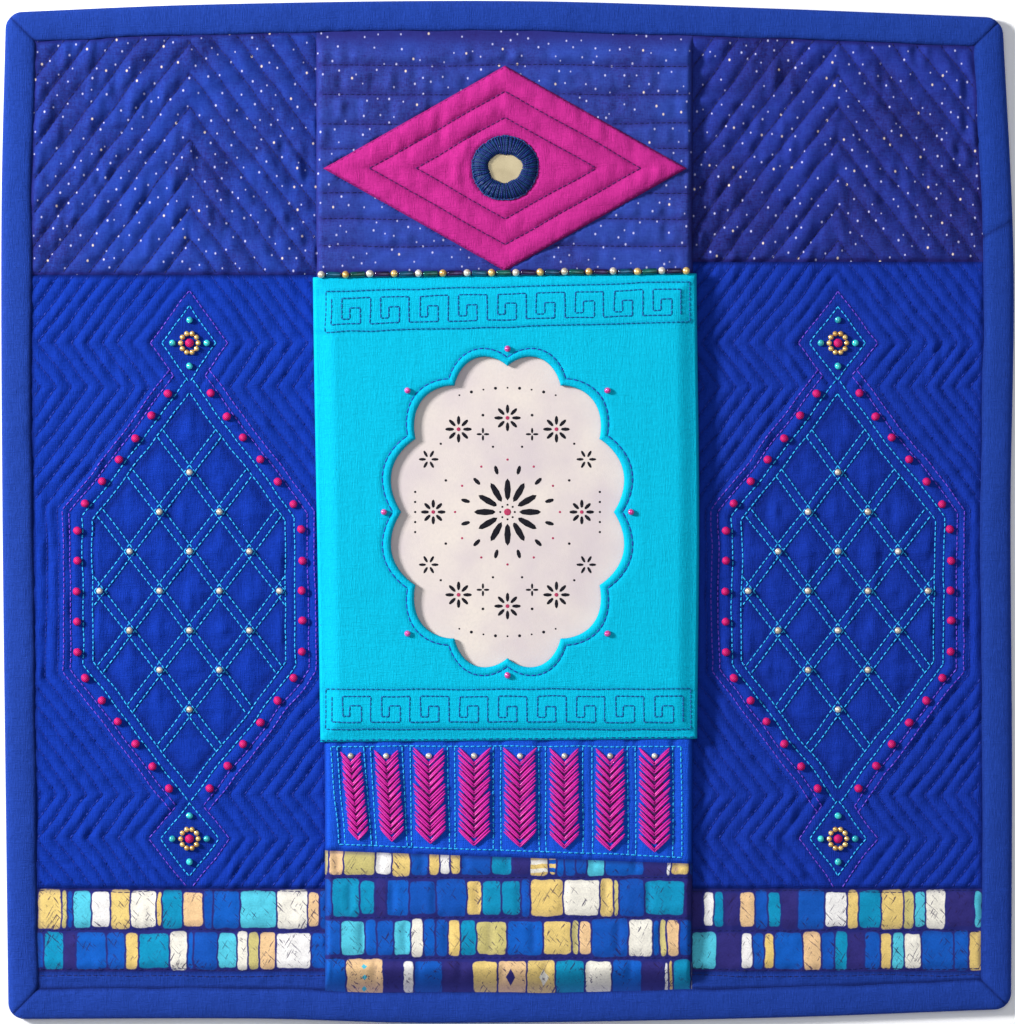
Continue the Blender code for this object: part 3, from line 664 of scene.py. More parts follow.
def wrinkles(x, y, seed):
    """Short upright creases, where the quilting's lines draw the cloth together."""
    creases = soft_noise(x * 2.7, y, 9.0, seed) * (0.5 + 0.5 * soft_noise(x, y, 21.0, seed + 1))
    return creases + 0.4 * soft_noise(x, y * 1.8, 7.0, seed + 2)


def lattice_distances(shape, x, y):
    (cx, cy), sides = shape
    nx, ny, reach = sides[0]
    pitch = 2 * reach / LATTICE_LINES
    near = []
    for mirror in (1, -1):
        a = (mirror * nx * (x - cx) + ny * (y - cy) + reach) / pitch
        near.append(np.abs(a - np.round(a)) * pitch)
    return near[0], near[1]


def side_rise(side, x, y):
    """From 0 in a line of quilting to 1 at the top of the puff between two."""
    shapes = side_shapes(side)
    sway = hand_sway(x, y)
    out = np.min([depth(shape, x, y) for shape in shapes], axis=0) + sway
    inner = depth(shapes[0], x, y)
    a, b = lattice_distances(shapes[0], x, y)
    pair = np.minimum(a, b)
    lattice = np.clip((pair - LATTICE_PAIR) / 7.4, 0, 1) ** 0.75
    lattice = np.where(pair < LATTICE_PAIR, 0.45 * np.sin(np.pi * (pair / LATTICE_PAIR) / 2 + np.pi / 2) ** 0.6, lattice)
    rise = np.where(out < ECHO_START, 0.55 * puff(out / ECHO_START), puff((out - ECHO_START) / ECHO_PITCH))
    rise = np.where(out < 0, 0.35, rise)
    rise = np.where(inner < 0, lattice * np.clip(-inner / 1.4, 0.15, 1), rise)
    star = puff(out / STAR_PITCH)
    return np.where(y > STAR_SEAM[side], star, rise)


def seam_at(distance, width=1.3):
    return np.exp(-((distance / width) ** 2))


def inner_inset(x, y):
    """How far a point lies in from the binding's inner edge."""
    found = np.min(
        [along(TOP_EDGE, x) - y, y - along(BOTTOM_EDGE, x), x - along(LEFT_EDGE, y), along(RIGHT_EDGE, y) - x], axis=0
    )
    return found - BINDING_WIDTH


def side_face(side):
    panel_edge = (lambda y: along(PANEL_LEFT, y)) if side < 0 else (lambda y: along(PANEL_RIGHT, y))

    def face(x, y):
        rise = side_rise(side, x, y)
        rows = np.min([np.abs(y - row) for row in (PRINT_SEAM, PRINT_MIDDLE, PLAIN_SEAM)], axis=0)
        rise = np.where(y < PRINT_SEAM, 0.75 * ease(rows / 4.5) + 0.12, rise)
        rise = np.where(y < PLAIN_SEAM, 0.5 * ease((PLAIN_SEAM - y) / 2.0), rise)
        seams = np.maximum(seam_at(y - STAR_SEAM[side]), seam_at(y - PRINT_SEAM))
        seams = np.maximum(seams, 0.7 * seam_at(y - PLAIN_SEAM))
        creased = np.where(y > STAR_SEAM[side], 0.62, 0.46)
        drawn = np.where(y > STAR_SEAM[side], 1.4, 0.65)
        medallion = ease(-depth(side_shapes(side)[0], x, y) / 2.0)
        drawn = np.where(y < PRINT_SEAM, 0.3, drawn + 0.75 * medallion)
        crest = np.where(y > STAR_SEAM[side], CREST, BLUE_CREST)
        z = GROOVE + (crest - GROOVE) * rise * (1 - 0.6 * seams) + pucker(x, y, rise, 11 + side, creased)
        z = z + drawn * rise * wrinkles(x, y, 33 + side)
        z = z - 0.35 * seams
        tuck = ease(inner_inset(x, y) / 2.2)
        z = UNDER_BINDING - 0.1 + (z - UNDER_BINDING + 0.1) * tuck
        under = ease(side * (panel_edge(y) - x) / 1.5 + 0.5)
        z = z + (FIELD_UNDER_PANEL - z) * under
        # Painted shade: strongest in the quilting's grooves, at seams and where the cloth tucks under the binding.
        return z, np.maximum((1 - rise) ** 2.2 * 0.75, np.maximum(seams, 0.9 * (1 - tuck)))

    return face


def side_edges(side):
    """The left and right lines of a side field, from under the panel to under the binding."""
    if side < 0:
        return edge(LEFT_EDGE, 3.0), edge(PANEL_LEFT, 4.0)
    return edge(PANEL_RIGHT, -4.0), edge(RIGHT_EDGE, -3.0)


def build_side_fields(cloths):
    for side, word in ((-1, "left"), (1, "right")):
        left, right = side_edges(side)
        face = side_face(side)
        seam = level(STAR_SEAM[side])
        cloth_patch("star_cloth_" + word, cloths["star_" + word], (left, right, seam, edge(TOP_EDGE, -3.0)), face,
                    ["quilt_field"])
        cloth_patch("blue_cloth_" + word, cloths["blue_" + word], (left, right, level(PRINT_SEAM), seam), face,
                    ["quilt_field"])
        cloth_patch("print_cloth_" + word, cloths["print_side"], (left, right, level(PLAIN_SEAM), level(PRINT_SEAM)),
                    face, ["quilt_field"])
        cloth_patch("foot_strip_" + word, cloths["binding"], (left, right, edge(BOTTOM_EDGE, 3.0), level(PLAIN_SEAM)),
                    face, ["quilt_field"])


# The backing and the binding


def build_backing(cloth):
    """The back of the quilt, faintly uneven and lifted towards its edge."""

    def face(x, y):
        z = BACKING_HEIGHT + 0.08 * soft_noise(x, y, 6.0, 71)
        edge_lift_and_shade = 1 - ease((inner_inset(x, y) + 1.0) / 1.5)
        # The rise at the edge doubles as painted shade, darker towards the binding.
        return z + 0.9 * edge_lift_and_shade, edge_lift_and_shade

    sides = (edge(LEFT_EDGE, 4.0), edge(RIGHT_EDGE, -4.0), edge(BOTTOM_EDGE, 4.0), edge(TOP_EDGE, -4.0))
    piece = cloth_patch("backing", cloth, sides, face, ["quilt_field"], step=5.0)
    piece.data.flip_normals()
    return piece


BINDING_SECTION = (
    (12.0, 0.0), (9.0, 0.02), (5.5, 0.04), (2.8, 0.1), (1.3, 0.5), (0.4, 1.1), (0.0, 1.9), (0.0, 2.8),
    (0.4, 3.6), (1.3, 4.2), (2.8, 4.65), (4.6, 4.85), (6.6, 4.9), (8.6, 4.85), (10.4, 4.6), (11.6, 4.15),
    (12.1, 3.7), (11.9, 3.3),
)


CORNER_RADIUS = 6.4


def build_binding(cloth):
    """One side at a time, mitred: a folded strip, softly lumpy, with a join on the right and puckers at its stitching."""
    sides = (
        ("binding_top", TOP_EDGE, 1, 0), ("binding_foot", BOTTOM_EDGE, -1, 1),
        ("binding_left", LEFT_EDGE, -1, 2), ("binding_right", RIGHT_EDGE, 1, 3),
    )
    insets = np.array([point[0] for point in BINDING_SECTION])
    heights = np.array([point[1] for point in BINDING_SECTION])
    rows = len(BINDING_SECTION) * 2 - 2
    for name, table, sign, kind in sides:
        is_level = kind < 2

        def shape(u, v, table=table, sign=sign, kind=kind, is_level=is_level):
            place = v * (len(insets) - 1)
            inset = np.interp(place, np.arange(len(insets)), insets)
            z = np.interp(place, np.arange(len(heights)), heights)
            low_table, high_table = (LEFT_EDGE, RIGHT_EDGE) if is_level else (BOTTOM_EDGE, TOP_EDGE)
            run = np.zeros_like(u)
            across = np.zeros_like(u)
            for _ in range(5):
                across = along(table, run) - sign * inset
                low = along(low_table, across) + inset
                high = along(high_table, across) - inset
                run = low + (high - low) * u
            end = np.minimum(u, 1 - u) * (high - low)
            in_run = np.maximum(CORNER_RADIUS - end - inset, 0.0)
            in_across = np.maximum(CORNER_RADIUS - inset, 0.0)
            rounded = 1 - np.maximum(in_run, in_across) / np.maximum(np.hypot(in_run, in_across), 1e-9)
            run = run - np.sign(run) * in_run * rounded
            across = across - sign * in_across * rounded
            x, y = (run, across) if is_level else (across, run)
            top = ease((place - 6) / 3)
            lumps = 0.22 * soft_noise(run, across, 11.0, 31 + kind) + 0.12 * soft_noise(run, across, 3.4, 35 + kind)
            drawn = np.exp(-(((inset - 11.0) / 1.6) ** 2)) * soft_noise(run, np.zeros_like(run), 2.3, 39 + kind)
            z = z + top * (lumps + 0.18 * drawn)
            mitre = np.exp(-((end / 0.9) ** 2))
            z = z - 0.5 * mitre * top
            join = np.zeros_like(u)
            if kind == 3:
                join = np.exp(-(((run - 113.0 + (inset - 6.0) * 0.55) / 0.8) ** 2)) * top
                z = z - 0.45 * join + 0.3 * top * np.exp(-(((run - 116.5) / 3.0) ** 2))
            wobble = 0.35 * soft_noise(run, np.zeros_like(run), 14.0, 43 + kind) * ease((inset - 9.0) / 3.0)
            if is_level:
                y = y + wobble
            else:
                x = x + wobble
            # Painted shade along the rolled inner edge, in the mitres and at the join.
            roll_shade = ease((inset - 10.6) / 1.4) * top
            return x, y, z, np.clip(0.5 * roll_shade + 0.6 * mitre + 0.7 * join, 0, 1)

        mesh = grid_mesh(name, 310, rows, shape)
        piece = finish_piece(name, mesh, cloth, ["binding"])
        bm = bmesh.new()
        bm.from_mesh(mesh)
        bm.normal_update()
        middle = max(bm.faces, key=lambda f: f.calc_center_median().z)
        if middle.normal.z < 0:
            bmesh.ops.reverse_faces(bm, faces=bm.faces[:])
        bm.to_mesh(mesh)
        bm.free()


# The raised panel


def lozenge():
    return lozenge_planes((LOZENGE_X, LOZENGE_Y), LOZENGE_HALF)


FERN_COLUMNS = (
    (-61.0, 4.0, -130.4), (-47.2, 4.9, -131.0), (-31.0, 6.2, -131.8), (-13.3, 6.3, -132.6),
    (5.0, 6.4, -133.2), (22.7, 6.0, -133.8), (40.9, 5.8, -134.6), (58.6, 6.2, -135.2),
)
FERN_HEAD = -95.6
FERN_ARMS = 12


def band_foot(x):
    return along(BAND_FOOT, x)


def panel_rise(x, y):
    """The panel's quilting: rows in the star cloth, frames in the blue band, and the print's own rows."""
    sway = 0.5 * soft_noise(x, y, 22.0, 51)
    rows = np.min([np.abs(y + sway - line) for line in STAR_LINES], axis=0)
    star = ease(rows / 4.2) ** 0.6
    flat = depth(lozenge(), x, y) < 0.4
    star = np.where(flat, 0.3, star)
    columns = np.min([np.abs(np.abs(x - c) - half - 1.3) for c, half, _ in FERN_COLUMNS], axis=0)
    band = 0.25 + 0.55 * ease(columns / 2.6)
    foot = np.min([np.abs(y - row) for row in PRINT_ROWS], axis=0)
    uprights = np.abs(((x + 5.0 * np.floor((y + 145.6) / 16.0)) / 17.0 + 0.5) % 1.0 - 0.5) * 17.0
    print_rise = 0.2 + 0.8 * ease(np.minimum(foot, uprights + 1.2) / 4.5)
    lower = np.where(y > band_foot(x), band, print_rise)
    return np.where(y > 0, star, lower)


def panel_face(x, y):
    rise = panel_rise(x, y)
    z = PANEL_GROOVE + (PANEL_CREST - PANEL_GROOVE) * rise + pucker(x, y, rise, 61, np.where(y > 0, 0.5, 0.36))
    z = z + 0.9 * rise * wrinkles(x, y, 67) * ease((y - FLAT_HEAD - 1.0) / 6.0)
    seam = seam_at(y - band_foot(x)) + seam_at(y - FLAT_HEAD)
    z = z - 0.35 * seam
    side = np.minimum(x - along(PANEL_LEFT, y), along(PANEL_RIGHT, y) - x)
    turn = np.clip(side / PANEL_ROLL, 0, 1)
    rolled = np.sqrt(np.clip(1 - (1 - turn) ** 2, 0, 1))
    ramp = ease((np.abs(y) - RAMP_HEAD) / (RAMP_FOOT + 1.5 - RAMP_HEAD))
    z = z + (UNDER_BINDING - 0.1 - z) * ramp
    low = np.minimum(PANEL_BACK, z)
    z = low + (z - low) * rolled
    # Painted shade: darker in grooves, at seams, on the rolled sides and on the ramps down under the binding.
    painted_fold_shade = np.maximum((1 - rise) ** 2.2 * 0.7, np.maximum(seam, 0.8 * (1 - ease(side / 1.6))))
    return z, np.maximum(painted_fold_shade, 0.9 * ramp * ramp)


def build_panel(cloths):
    left, right = edge(PANEL_LEFT), edge(PANEL_RIGHT)
    patches = (
        ("panel_star_cloth", cloths["star_panel"], level(FLAT_HEAD - 4.0), level(199.0)),
        ("panel_blue_band", cloths["band"], band_foot, level(-88.0)),
        ("panel_print_cloth", cloths["print_panel"], level(-199.0), band_foot),
    )
    for name, cloth, foot, head in patches:
        cloth_patch(name, cloth, (left, right, foot, head), panel_face, ["centre_panel"],
                    step=0.74, draw=0.35)


def lozenge_rise(x, y):
    out = -depth(lozenge(), x, y) + 0.35 * soft_noise(x, y, 15.0, 81)
    rise = puff(np.minimum(out / LOZENGE_PITCH, 2.5))
    middle = np.hypot(x - LOZENGE_X, y - LOZENGE_Y)
    return np.where(middle < 13.6, 0.4, rise)


def lozenge_face(x, y):
    out = -depth(lozenge(), x, y)
    rise = lozenge_rise(x, y)
    z = LOZENGE_GROOVE + (LOZENGE_CREST - LOZENGE_GROOVE) * rise + pucker(x, y, rise, 83)
    z = z + 0.7 * rise * wrinkles(x, y, 87) * ease((np.hypot(x - LOZENGE_X, y - LOZENGE_Y) - 14.0) / 4.0)
    turned = np.sqrt(np.clip(1 - (1 - np.clip(out / 1.3, 0, 1)) ** 2, 0, 1))
    z = 7.5 + (z - 7.5) * (0.15 + 0.85 * turned)
    # Painted shade: darker in the grooves and on the turned edge.
    painted_fold_shade = np.maximum((1 - rise) ** 2.4 * 0.75, 0.7 * (1 - ease(out / 1.2)))
    return z, painted_fold_shade


def build_lozenge(cloth):
    """A lozenge laid out along its own two slanting sides."""
    a, b = LOZENGE_HALF

    def shape(u, v):
        s, t = spread(u, 0.3), spread(v, 0.3)
        x = LOZENGE_X + a * (s - t)
        y = LOZENGE_Y + b * (s + t - 1)
        z, painted_fold_shade = lozenge_face(x, y)
        return x, y, z, painted_fold_shade

    mesh = grid_mesh("lozenge_cloth", 122, 122, shape)
    piece = finish_piece("lozenge_cloth", mesh, cloth, ["lozenge"])


# The pocket front


def front_side(x, y):
    return np.minimum(x - along(PANEL_LEFT, y), along(PANEL_RIGHT, y) - x) + FRONT_TURN


def front_inset(x, y):
    return np.minimum(front_side(x, y), np.minimum(along(FRONT_TOP, x) - y, y - along(FRONT_FOOT, x)))


def window_point(turn, out=0.0):
    """A point of the scalloped oval, and its outward direction, for a share of the way round."""
    angle = math.tau * turn
    a, b = WINDOW_HALF
    lobe = SCALLOP_DEPTH * np.abs(np.sin(math.pi * ((turn * SCALLOPS) % 1.0))) ** 0.9 + out
    nx, ny = np.cos(angle) / a, np.sin(angle) / b
    size = np.hypot(nx, ny)
    nx, ny = nx / size, ny / size
    return a * np.cos(angle) + lobe * nx, b * np.sin(angle) + lobe * ny, nx, ny


RIM_SECTION = (
    (0.5, 9.1), (-0.1, 9.3), (-0.35, 9.9), (-0.25, 10.6), (0.15, 11.15), (0.8, 11.5), (1.7, 11.6), (2.5, 11.4),
    (3.1, 11.02), (3.7, 11.25), (4.6, 11.42), (6.0, 11.42),
)
OUTER_RINGS = 50


def front_height(x, y):
    rise = ease(front_inset(x, y) / FRONT_RISE_WIDTH)
    z = FRONT_EDGE + (FRONT_FACE - FRONT_EDGE) * rise
    return z + 0.1 * soft_noise(x, y, 24.0, 91) + 0.05 * soft_noise(x, y, 7.0, 92)


def key_band_rise(x, y):
    """Low where the key bands are stitched, a little puffed between."""
    found = np.zeros_like(x)
    for line in KEY_BORDERS:
        found = np.maximum(found, seam_at(y - border_at(line, x), 0.7))
    return found


# Each stitched border of the key bands: its height at the left side, then at the right
KEY_BORDERS = ((87.6, 92.0), (71.6, 75.8), (-70.6, -70.4), (-86.4, -86.6))


def border_at(border, x):
    return border[0] + (border[1] - border[0]) * (np.asarray(x) + 76.0) / 152.0


def build_front(cloth):
    around, rings = 600, len(RIM_SECTION) - 1 + OUTER_RINGS
    insets = np.array([point[0] for point in RIM_SECTION])
    heights = np.array([point[1] for point in RIM_SECTION])

    def outer_point(turn):
        """Where a ray from the middle meets the front's outline."""
        angle = math.tau * turn
        dx, dy = np.cos(angle), np.sin(angle)
        reach = np.full_like(turn, 60.0)
        low, high = np.zeros_like(turn), np.full_like(turn, 140.0)
        for _ in range(40):
            reach = (low + high) / 2
            x, y = reach * dx, reach * dy
            inside = front_inset(x, y) > 0
            low, high = np.where(inside, reach, low), np.where(inside, high, reach)
        return low * dx, low * dy

    def corner_turns(u):
        """Shares of a turn with four of them moved onto the front's corners."""
        corners = [math.atan2(along(FRONT_TOP, 76.0), along(PANEL_RIGHT, 95.0) + FRONT_TURN)]
        corners.append(math.atan2(along(FRONT_TOP, -76.0), along(PANEL_LEFT, 95.0) - FRONT_TURN))
        corners.append(math.atan2(along(FRONT_FOOT, -76.0), along(PANEL_LEFT, -91.0) - FRONT_TURN) + math.tau)
        corners.append(math.atan2(along(FRONT_FOOT, 76.0), along(PANEL_RIGHT, -91.0) + FRONT_TURN) + math.tau)
        targets = [float(c) / math.tau for c in corners]
        knots = [round(t * around) / around for t in targets]
        return np.interp(u, [0.0, *knots, 1.0], [0.0, *targets, 1.0])

    def shape(u, v):
        turn = corner_turns(u)
        place = v * rings
        rim_place = np.clip(place, 0, len(insets) - 1)
        out = np.interp(rim_place, np.arange(len(insets)), insets)
        wx, wy, _, _ = window_point(turn, out)
        z_rim = np.interp(rim_place, np.arange(len(heights)), heights)
        ox, oy = outer_point(turn)
        share = np.clip((place - (len(insets) - 1)) / OUTER_RINGS, 0, 1)
        drawn = 1 - (1 - share) ** 1.25
        x, y = wx + (ox - wx) * drawn, wy + (oy - wy) * drawn
        z = front_height(x, y) - 0.28 * key_band_rise(x, y)
        z = np.where(share > 0, z + (heights[-1] - FRONT_FACE) * (1 - ease(share * 6)), z_rim)
        side = front_side(x, y)
        flap = (side < 1.2) & (share > 0.5)
        drop = 1 - np.sqrt(np.clip(1 - (1 - np.clip(side / 1.2, 0, 1)) ** 2, 0, 1))
        z = np.where(flap, z + (FLAP_FOOT - z) * drop, z)
        end = np.minimum(along(FRONT_TOP, x) - y, y - along(FRONT_FOOT, x))
        lip = 1 - np.sqrt(np.clip(1 - (1 - np.clip(end / 0.9, 0, 1)) ** 2, 0, 1))
        z = np.where((end < 0.9) & ~flap & (share > 0.5), z + (7.9 - z) * lip, z)
        # Painted shade: along the rim's stitching, in the key bands' stitched lines and on the rim's inner turn.
        stitched = np.where(share > 0, 0.0, np.exp(-(((out - 3.1) / 0.45) ** 2)))
        painted_fold_shade = np.maximum(0.45 * stitched, 0.3 * key_band_rise(x, y) * (share > 0))
        painted_fold_shade = np.maximum(painted_fold_shade, np.where(place < 3, 0.8, 0.0))
        return x, y, z, painted_fold_shade

    mesh = grid_mesh("pocket_front_cloth", around, rings, shape, wrap=True)
    piece = finish_piece("pocket_front_cloth", mesh, cloth, ["pocket_front"])
    bm = bmesh.new()
    bm.from_mesh(mesh)
    bmesh.ops.recalc_face_normals(bm, faces=bm.faces[:])
    bm.normal_update()
    middle = min(bm.faces, key=lambda f: (f.calc_center_median().xy.length - 0.07) ** 2)
    if middle.normal.z < 0:
        bmesh.ops.reverse_faces(bm, faces=bm.faces[:])
    bm.to_mesh(mesh)
    bm.free()


def page_height(x, y):
    return PAGE_FACE + 0.12 * soft_noise(x, y, 26.0, 95) + 0.04 * soft_noise(x, y, 8.0, 96)


def build_page(paper):
    a, b = PAGE_HALF
    sides = (level(-a), level(a), level(-b), level(b))
    cloth_patch("page_sheet", paper, sides, lambda x, y: (page_height(x, y), np.zeros_like(x)), ["page"],
                step=1.6)


# Stitches, beads and knots, made many at a time from one small form


def small_form(segments, rings, seed=None, lumps=0.0):
    """A little ball of one unit across, with its poles along X."""
    bm = bmesh.new()
    bmesh.ops.create_uvsphere(bm, u_segments=segments, v_segments=rings, radius=0.5)
    verts = np.array([v.co[:] for v in bm.verts])
    faces = [[v.index for v in f.verts] for f in bm.faces]
    bm.free()
    verts = verts[:, [2, 0, 1]]
    if lumps:
        verts = verts * (1 + lumps * np.random.default_rng(seed).uniform(-1, 1, (len(verts), 1)))
    return verts, faces


def many(name, form, centres, runs, widths, material, flatten=1.0, normal=None):
    """Copies of the form, each stretched along its run, joined into one piece that rides on the quilt."""
    verts, faces = form
    centres, runs = np.asarray(centres, float), np.asarray(runs, float)
    widths = np.broadcast_to(np.asarray(widths, float), (len(centres),))
    length = np.linalg.norm(runs, axis=1, keepdims=True)
    ahead = runs / length
    up = np.tile([0.0, 0.0, 1.0], (len(centres), 1)) if normal is None else np.asarray(normal, float)
    beside = np.cross(up, ahead)
    beside /= np.maximum(np.linalg.norm(beside, axis=1, keepdims=True), 1e-9)
    over = np.cross(ahead, beside)
    placed = (
        centres[:, None, :]
        + verts[None, :, 0:1] * runs[:, None, :]
        + verts[None, :, 1:2] * (beside * widths[:, None])[:, None, :]
        + verts[None, :, 2:3] * (over * widths[:, None] * flatten)[:, None, :]
    )
    count, size = len(centres), len(verts)
    loops = np.concatenate([np.array(face) for face in faces])
    sizes = np.array([len(face) for face in faces])
    all_loops = (loops[None, :] + size * np.arange(count)[:, None]).reshape(-1)
    all_sizes = np.tile(sizes, count)
    starts = np.concatenate([[0], np.cumsum(all_sizes)[:-1]])
    mesh = bpy.data.meshes.new(name)
    mesh.vertices.add(count * size)
    mesh.vertices.foreach_set("co", (placed * MM).astype(np.float32).reshape(-1))
    mesh.loops.add(len(all_loops))
    mesh.loops.foreach_set("vertex_index", all_loops.astype(np.int32))
    mesh.polygons.add(len(all_sizes))
    mesh.polygons.foreach_set("loop_start", starts.astype(np.int32))
    mesh.update(calc_edges=True)
    return finish_piece(name, mesh, material)


STITCH_FORM = small_form(5, 4)
FINE_STITCH_FORM = small_form(4, 4)
BEAD_FORM = small_form(10, 7)
KNOT_FORM = small_form(10, 8, seed=3, lumps=0.07)


def stitch_places(lines, pitch, gap, sway, seed):
    """Centres, directions and lengths of the stitches along straight lines and open or closed runs of them."""
    draw = np.random.default_rng(seed)
    centres, runs = [], []
    for (x0, y0), (x1, y1) in lines:
        span = math.hypot(x1 - x0, y1 - y0)
        count = max(1, round(span / pitch))
        if span < 0.5:
            continue
        ends = (np.arange(count + 1)) / count
        ends[1:-1] += draw.uniform(-0.08, 0.08, count - 1) / count
        x, y = x0 + (x1 - x0) * ends, y0 + (y1 - y0) * ends
        if sway:
            drift = sway(x, y)
            nx, ny = -(y1 - y0) / span, (x1 - x0) / span
            x, y = x + nx * drift, y + ny * drift
        centres.append(np.stack([(x[1:] + x[:-1]) / 2, (y[1:] + y[:-1]) / 2], axis=1))
        step = np.stack([x[1:] - x[:-1], y[1:] - y[:-1]], axis=1)
        size = np.linalg.norm(step, axis=1, keepdims=True)
        runs.append(step * np.maximum(size - gap, 0.4 * size) / size)
    return np.concatenate(centres), np.concatenate(runs)


def sew(name, lines, face, material, slot="thread", pitch=STITCH, gap=STITCH_GAP, width=THREAD, lift=0.1, sway=None,
        form=STITCH_FORM, seed=7, spread=0.0):
    """Runs of stitches that follow the cloth's rise and fall, held up by the cloth a little way to either side."""
    places, runs = stitch_places(lines, pitch, gap, sway, seed)
    ahead, behind = places + runs / 2, places - runs / 2
    z_ahead, z_behind = face(*ahead.T), face(*behind.T)
    aside = spread * runs[:, ::-1] * (-1, 1) / np.linalg.norm(runs, axis=1, keepdims=True)
    z_middle = (face(*(places + aside).T) + face(*(places - aside).T)) / 2
    z = np.maximum((z_ahead + z_behind) / 2, z_middle) + lift
    centres = np.column_stack([places, z])
    sizes = np.column_stack([runs * 1.04, z_ahead - z_behind])
    return many(name, form, centres, sizes, width, material, flatten=0.8)


def height_only(face):
    return lambda x, y: face(x, y)[0]


# Sewing on the side fields


def polygon_planes(corners):
    """The sides of a convex outline whose corners run anticlockwise."""
    sides = []
    for (x0, y0), (x1, y1) in sides_of(corners):
        length = math.hypot(x1 - x0, y1 - y0)
        nx, ny = (y1 - y0) / length, (x0 - x1) / length
        sides.append((nx, ny, nx * x0 + ny * y0))
    return (0.0, 0.0), sides


def field_area(side, foot, head):
    """The part of a side field that shows between two heights."""
    places = np.array([foot, head])
    if side < 0:
        outer, inner = along(LEFT_EDGE, places) + 12.6, along(PANEL_LEFT, places) + 0.8
        return polygon_planes([(outer[0], foot), (inner[0], foot), (inner[1], head), (outer[1], head)])
    outer, inner = along(RIGHT_EDGE, places) - 12.6, along(PANEL_RIGHT, places) - 0.8
    return polygon_planes([(inner[0], foot), (outer[0], foot), (outer[1], head), (inner[1], head)])


def echo(shapes, out):
    """The outline round all the shapes together, grown by out."""
    lines = []
    for k, shape in enumerate(shapes):
        others = shapes[:k] + shapes[k + 1 :]
        sides = sides_of(ring(shape, out))
        for other in others:
            sides = clip_all(sides, other, out, inside=False)
        lines += sides
    return lines


def lattice_lines(shape, shift=0.0):
    """The lattice's lines inside the medallion, each moved square to itself by shift."""
    (cx, cy), sides = shape
    nx, ny, reach = sides[0]
    pitch = 2 * reach / LATTICE_LINES
    lines = []
    for mirror in (1, -1):
        for k in range(1, LATTICE_LINES):
            away = -reach + k * pitch + shift
            px, py = cx + mirror * nx * away, cy + ny * away
            lines.append(((px - ny * 150, py + mirror * nx * 150), (px + ny * 150, py - mirror * nx * 150)))
    return clip_all(lines, shape, -0.3)


def crossings(shape):
    (cx, cy), sides = shape
    nx, ny, reach = sides[0]
    pitch = 2 * reach / LATTICE_LINES
    places = []
    for i in range(1, LATTICE_LINES):
        for j in range(1, LATTICE_LINES):
            x = (i - j) * pitch / (2 * nx)
            if abs(x) < MEDALLION_HALF[0] - 0.5:
                places.append((cx + x, cy + ((i + j) * pitch - 2 * reach) / (2 * ny)))
    return places


def spaced(loop, pitch, jitter=0.0, seed=1):
    """Places along a run of lines, about pitch apart."""
    draw = np.random.default_rng(seed)
    places = []
    for (x0, y0), (x1, y1) in loop:
        count = max(1, round(math.hypot(x1 - x0, y1 - y0) / pitch))
        for k in range(count):
            u = (k + 0.5) / count
            places.append((x0 + (x1 - x0) * u + draw.uniform(-jitter, jitter), y0 + (y1 - y0) * u + draw.uniform(-jitter, jitter)))
    return places


def dotted(name, places, face, size, height, material, form=BEAD_FORM, sink=0.35, run=None, seed=1):
    """Beads or knots at places on a face, each turned a little its own way."""
    draw = np.random.default_rng(seed)
    places = np.asarray(places, float)
    turn = draw.uniform(0, math.tau, len(places)) if run is None else np.zeros(len(places))
    long = size * draw.uniform(0.94, 1.06, len(places)) if run is None else np.full(len(places), run)
    runs = np.column_stack([np.cos(turn) * long, np.sin(turn) * long, np.zeros(len(places))])
    z = face(*places.T) + height * (0.5 - sink * 0.5)
    centres = np.column_stack([places, z])
    return many(name, form, centres, runs, size, material, flatten=height / size)


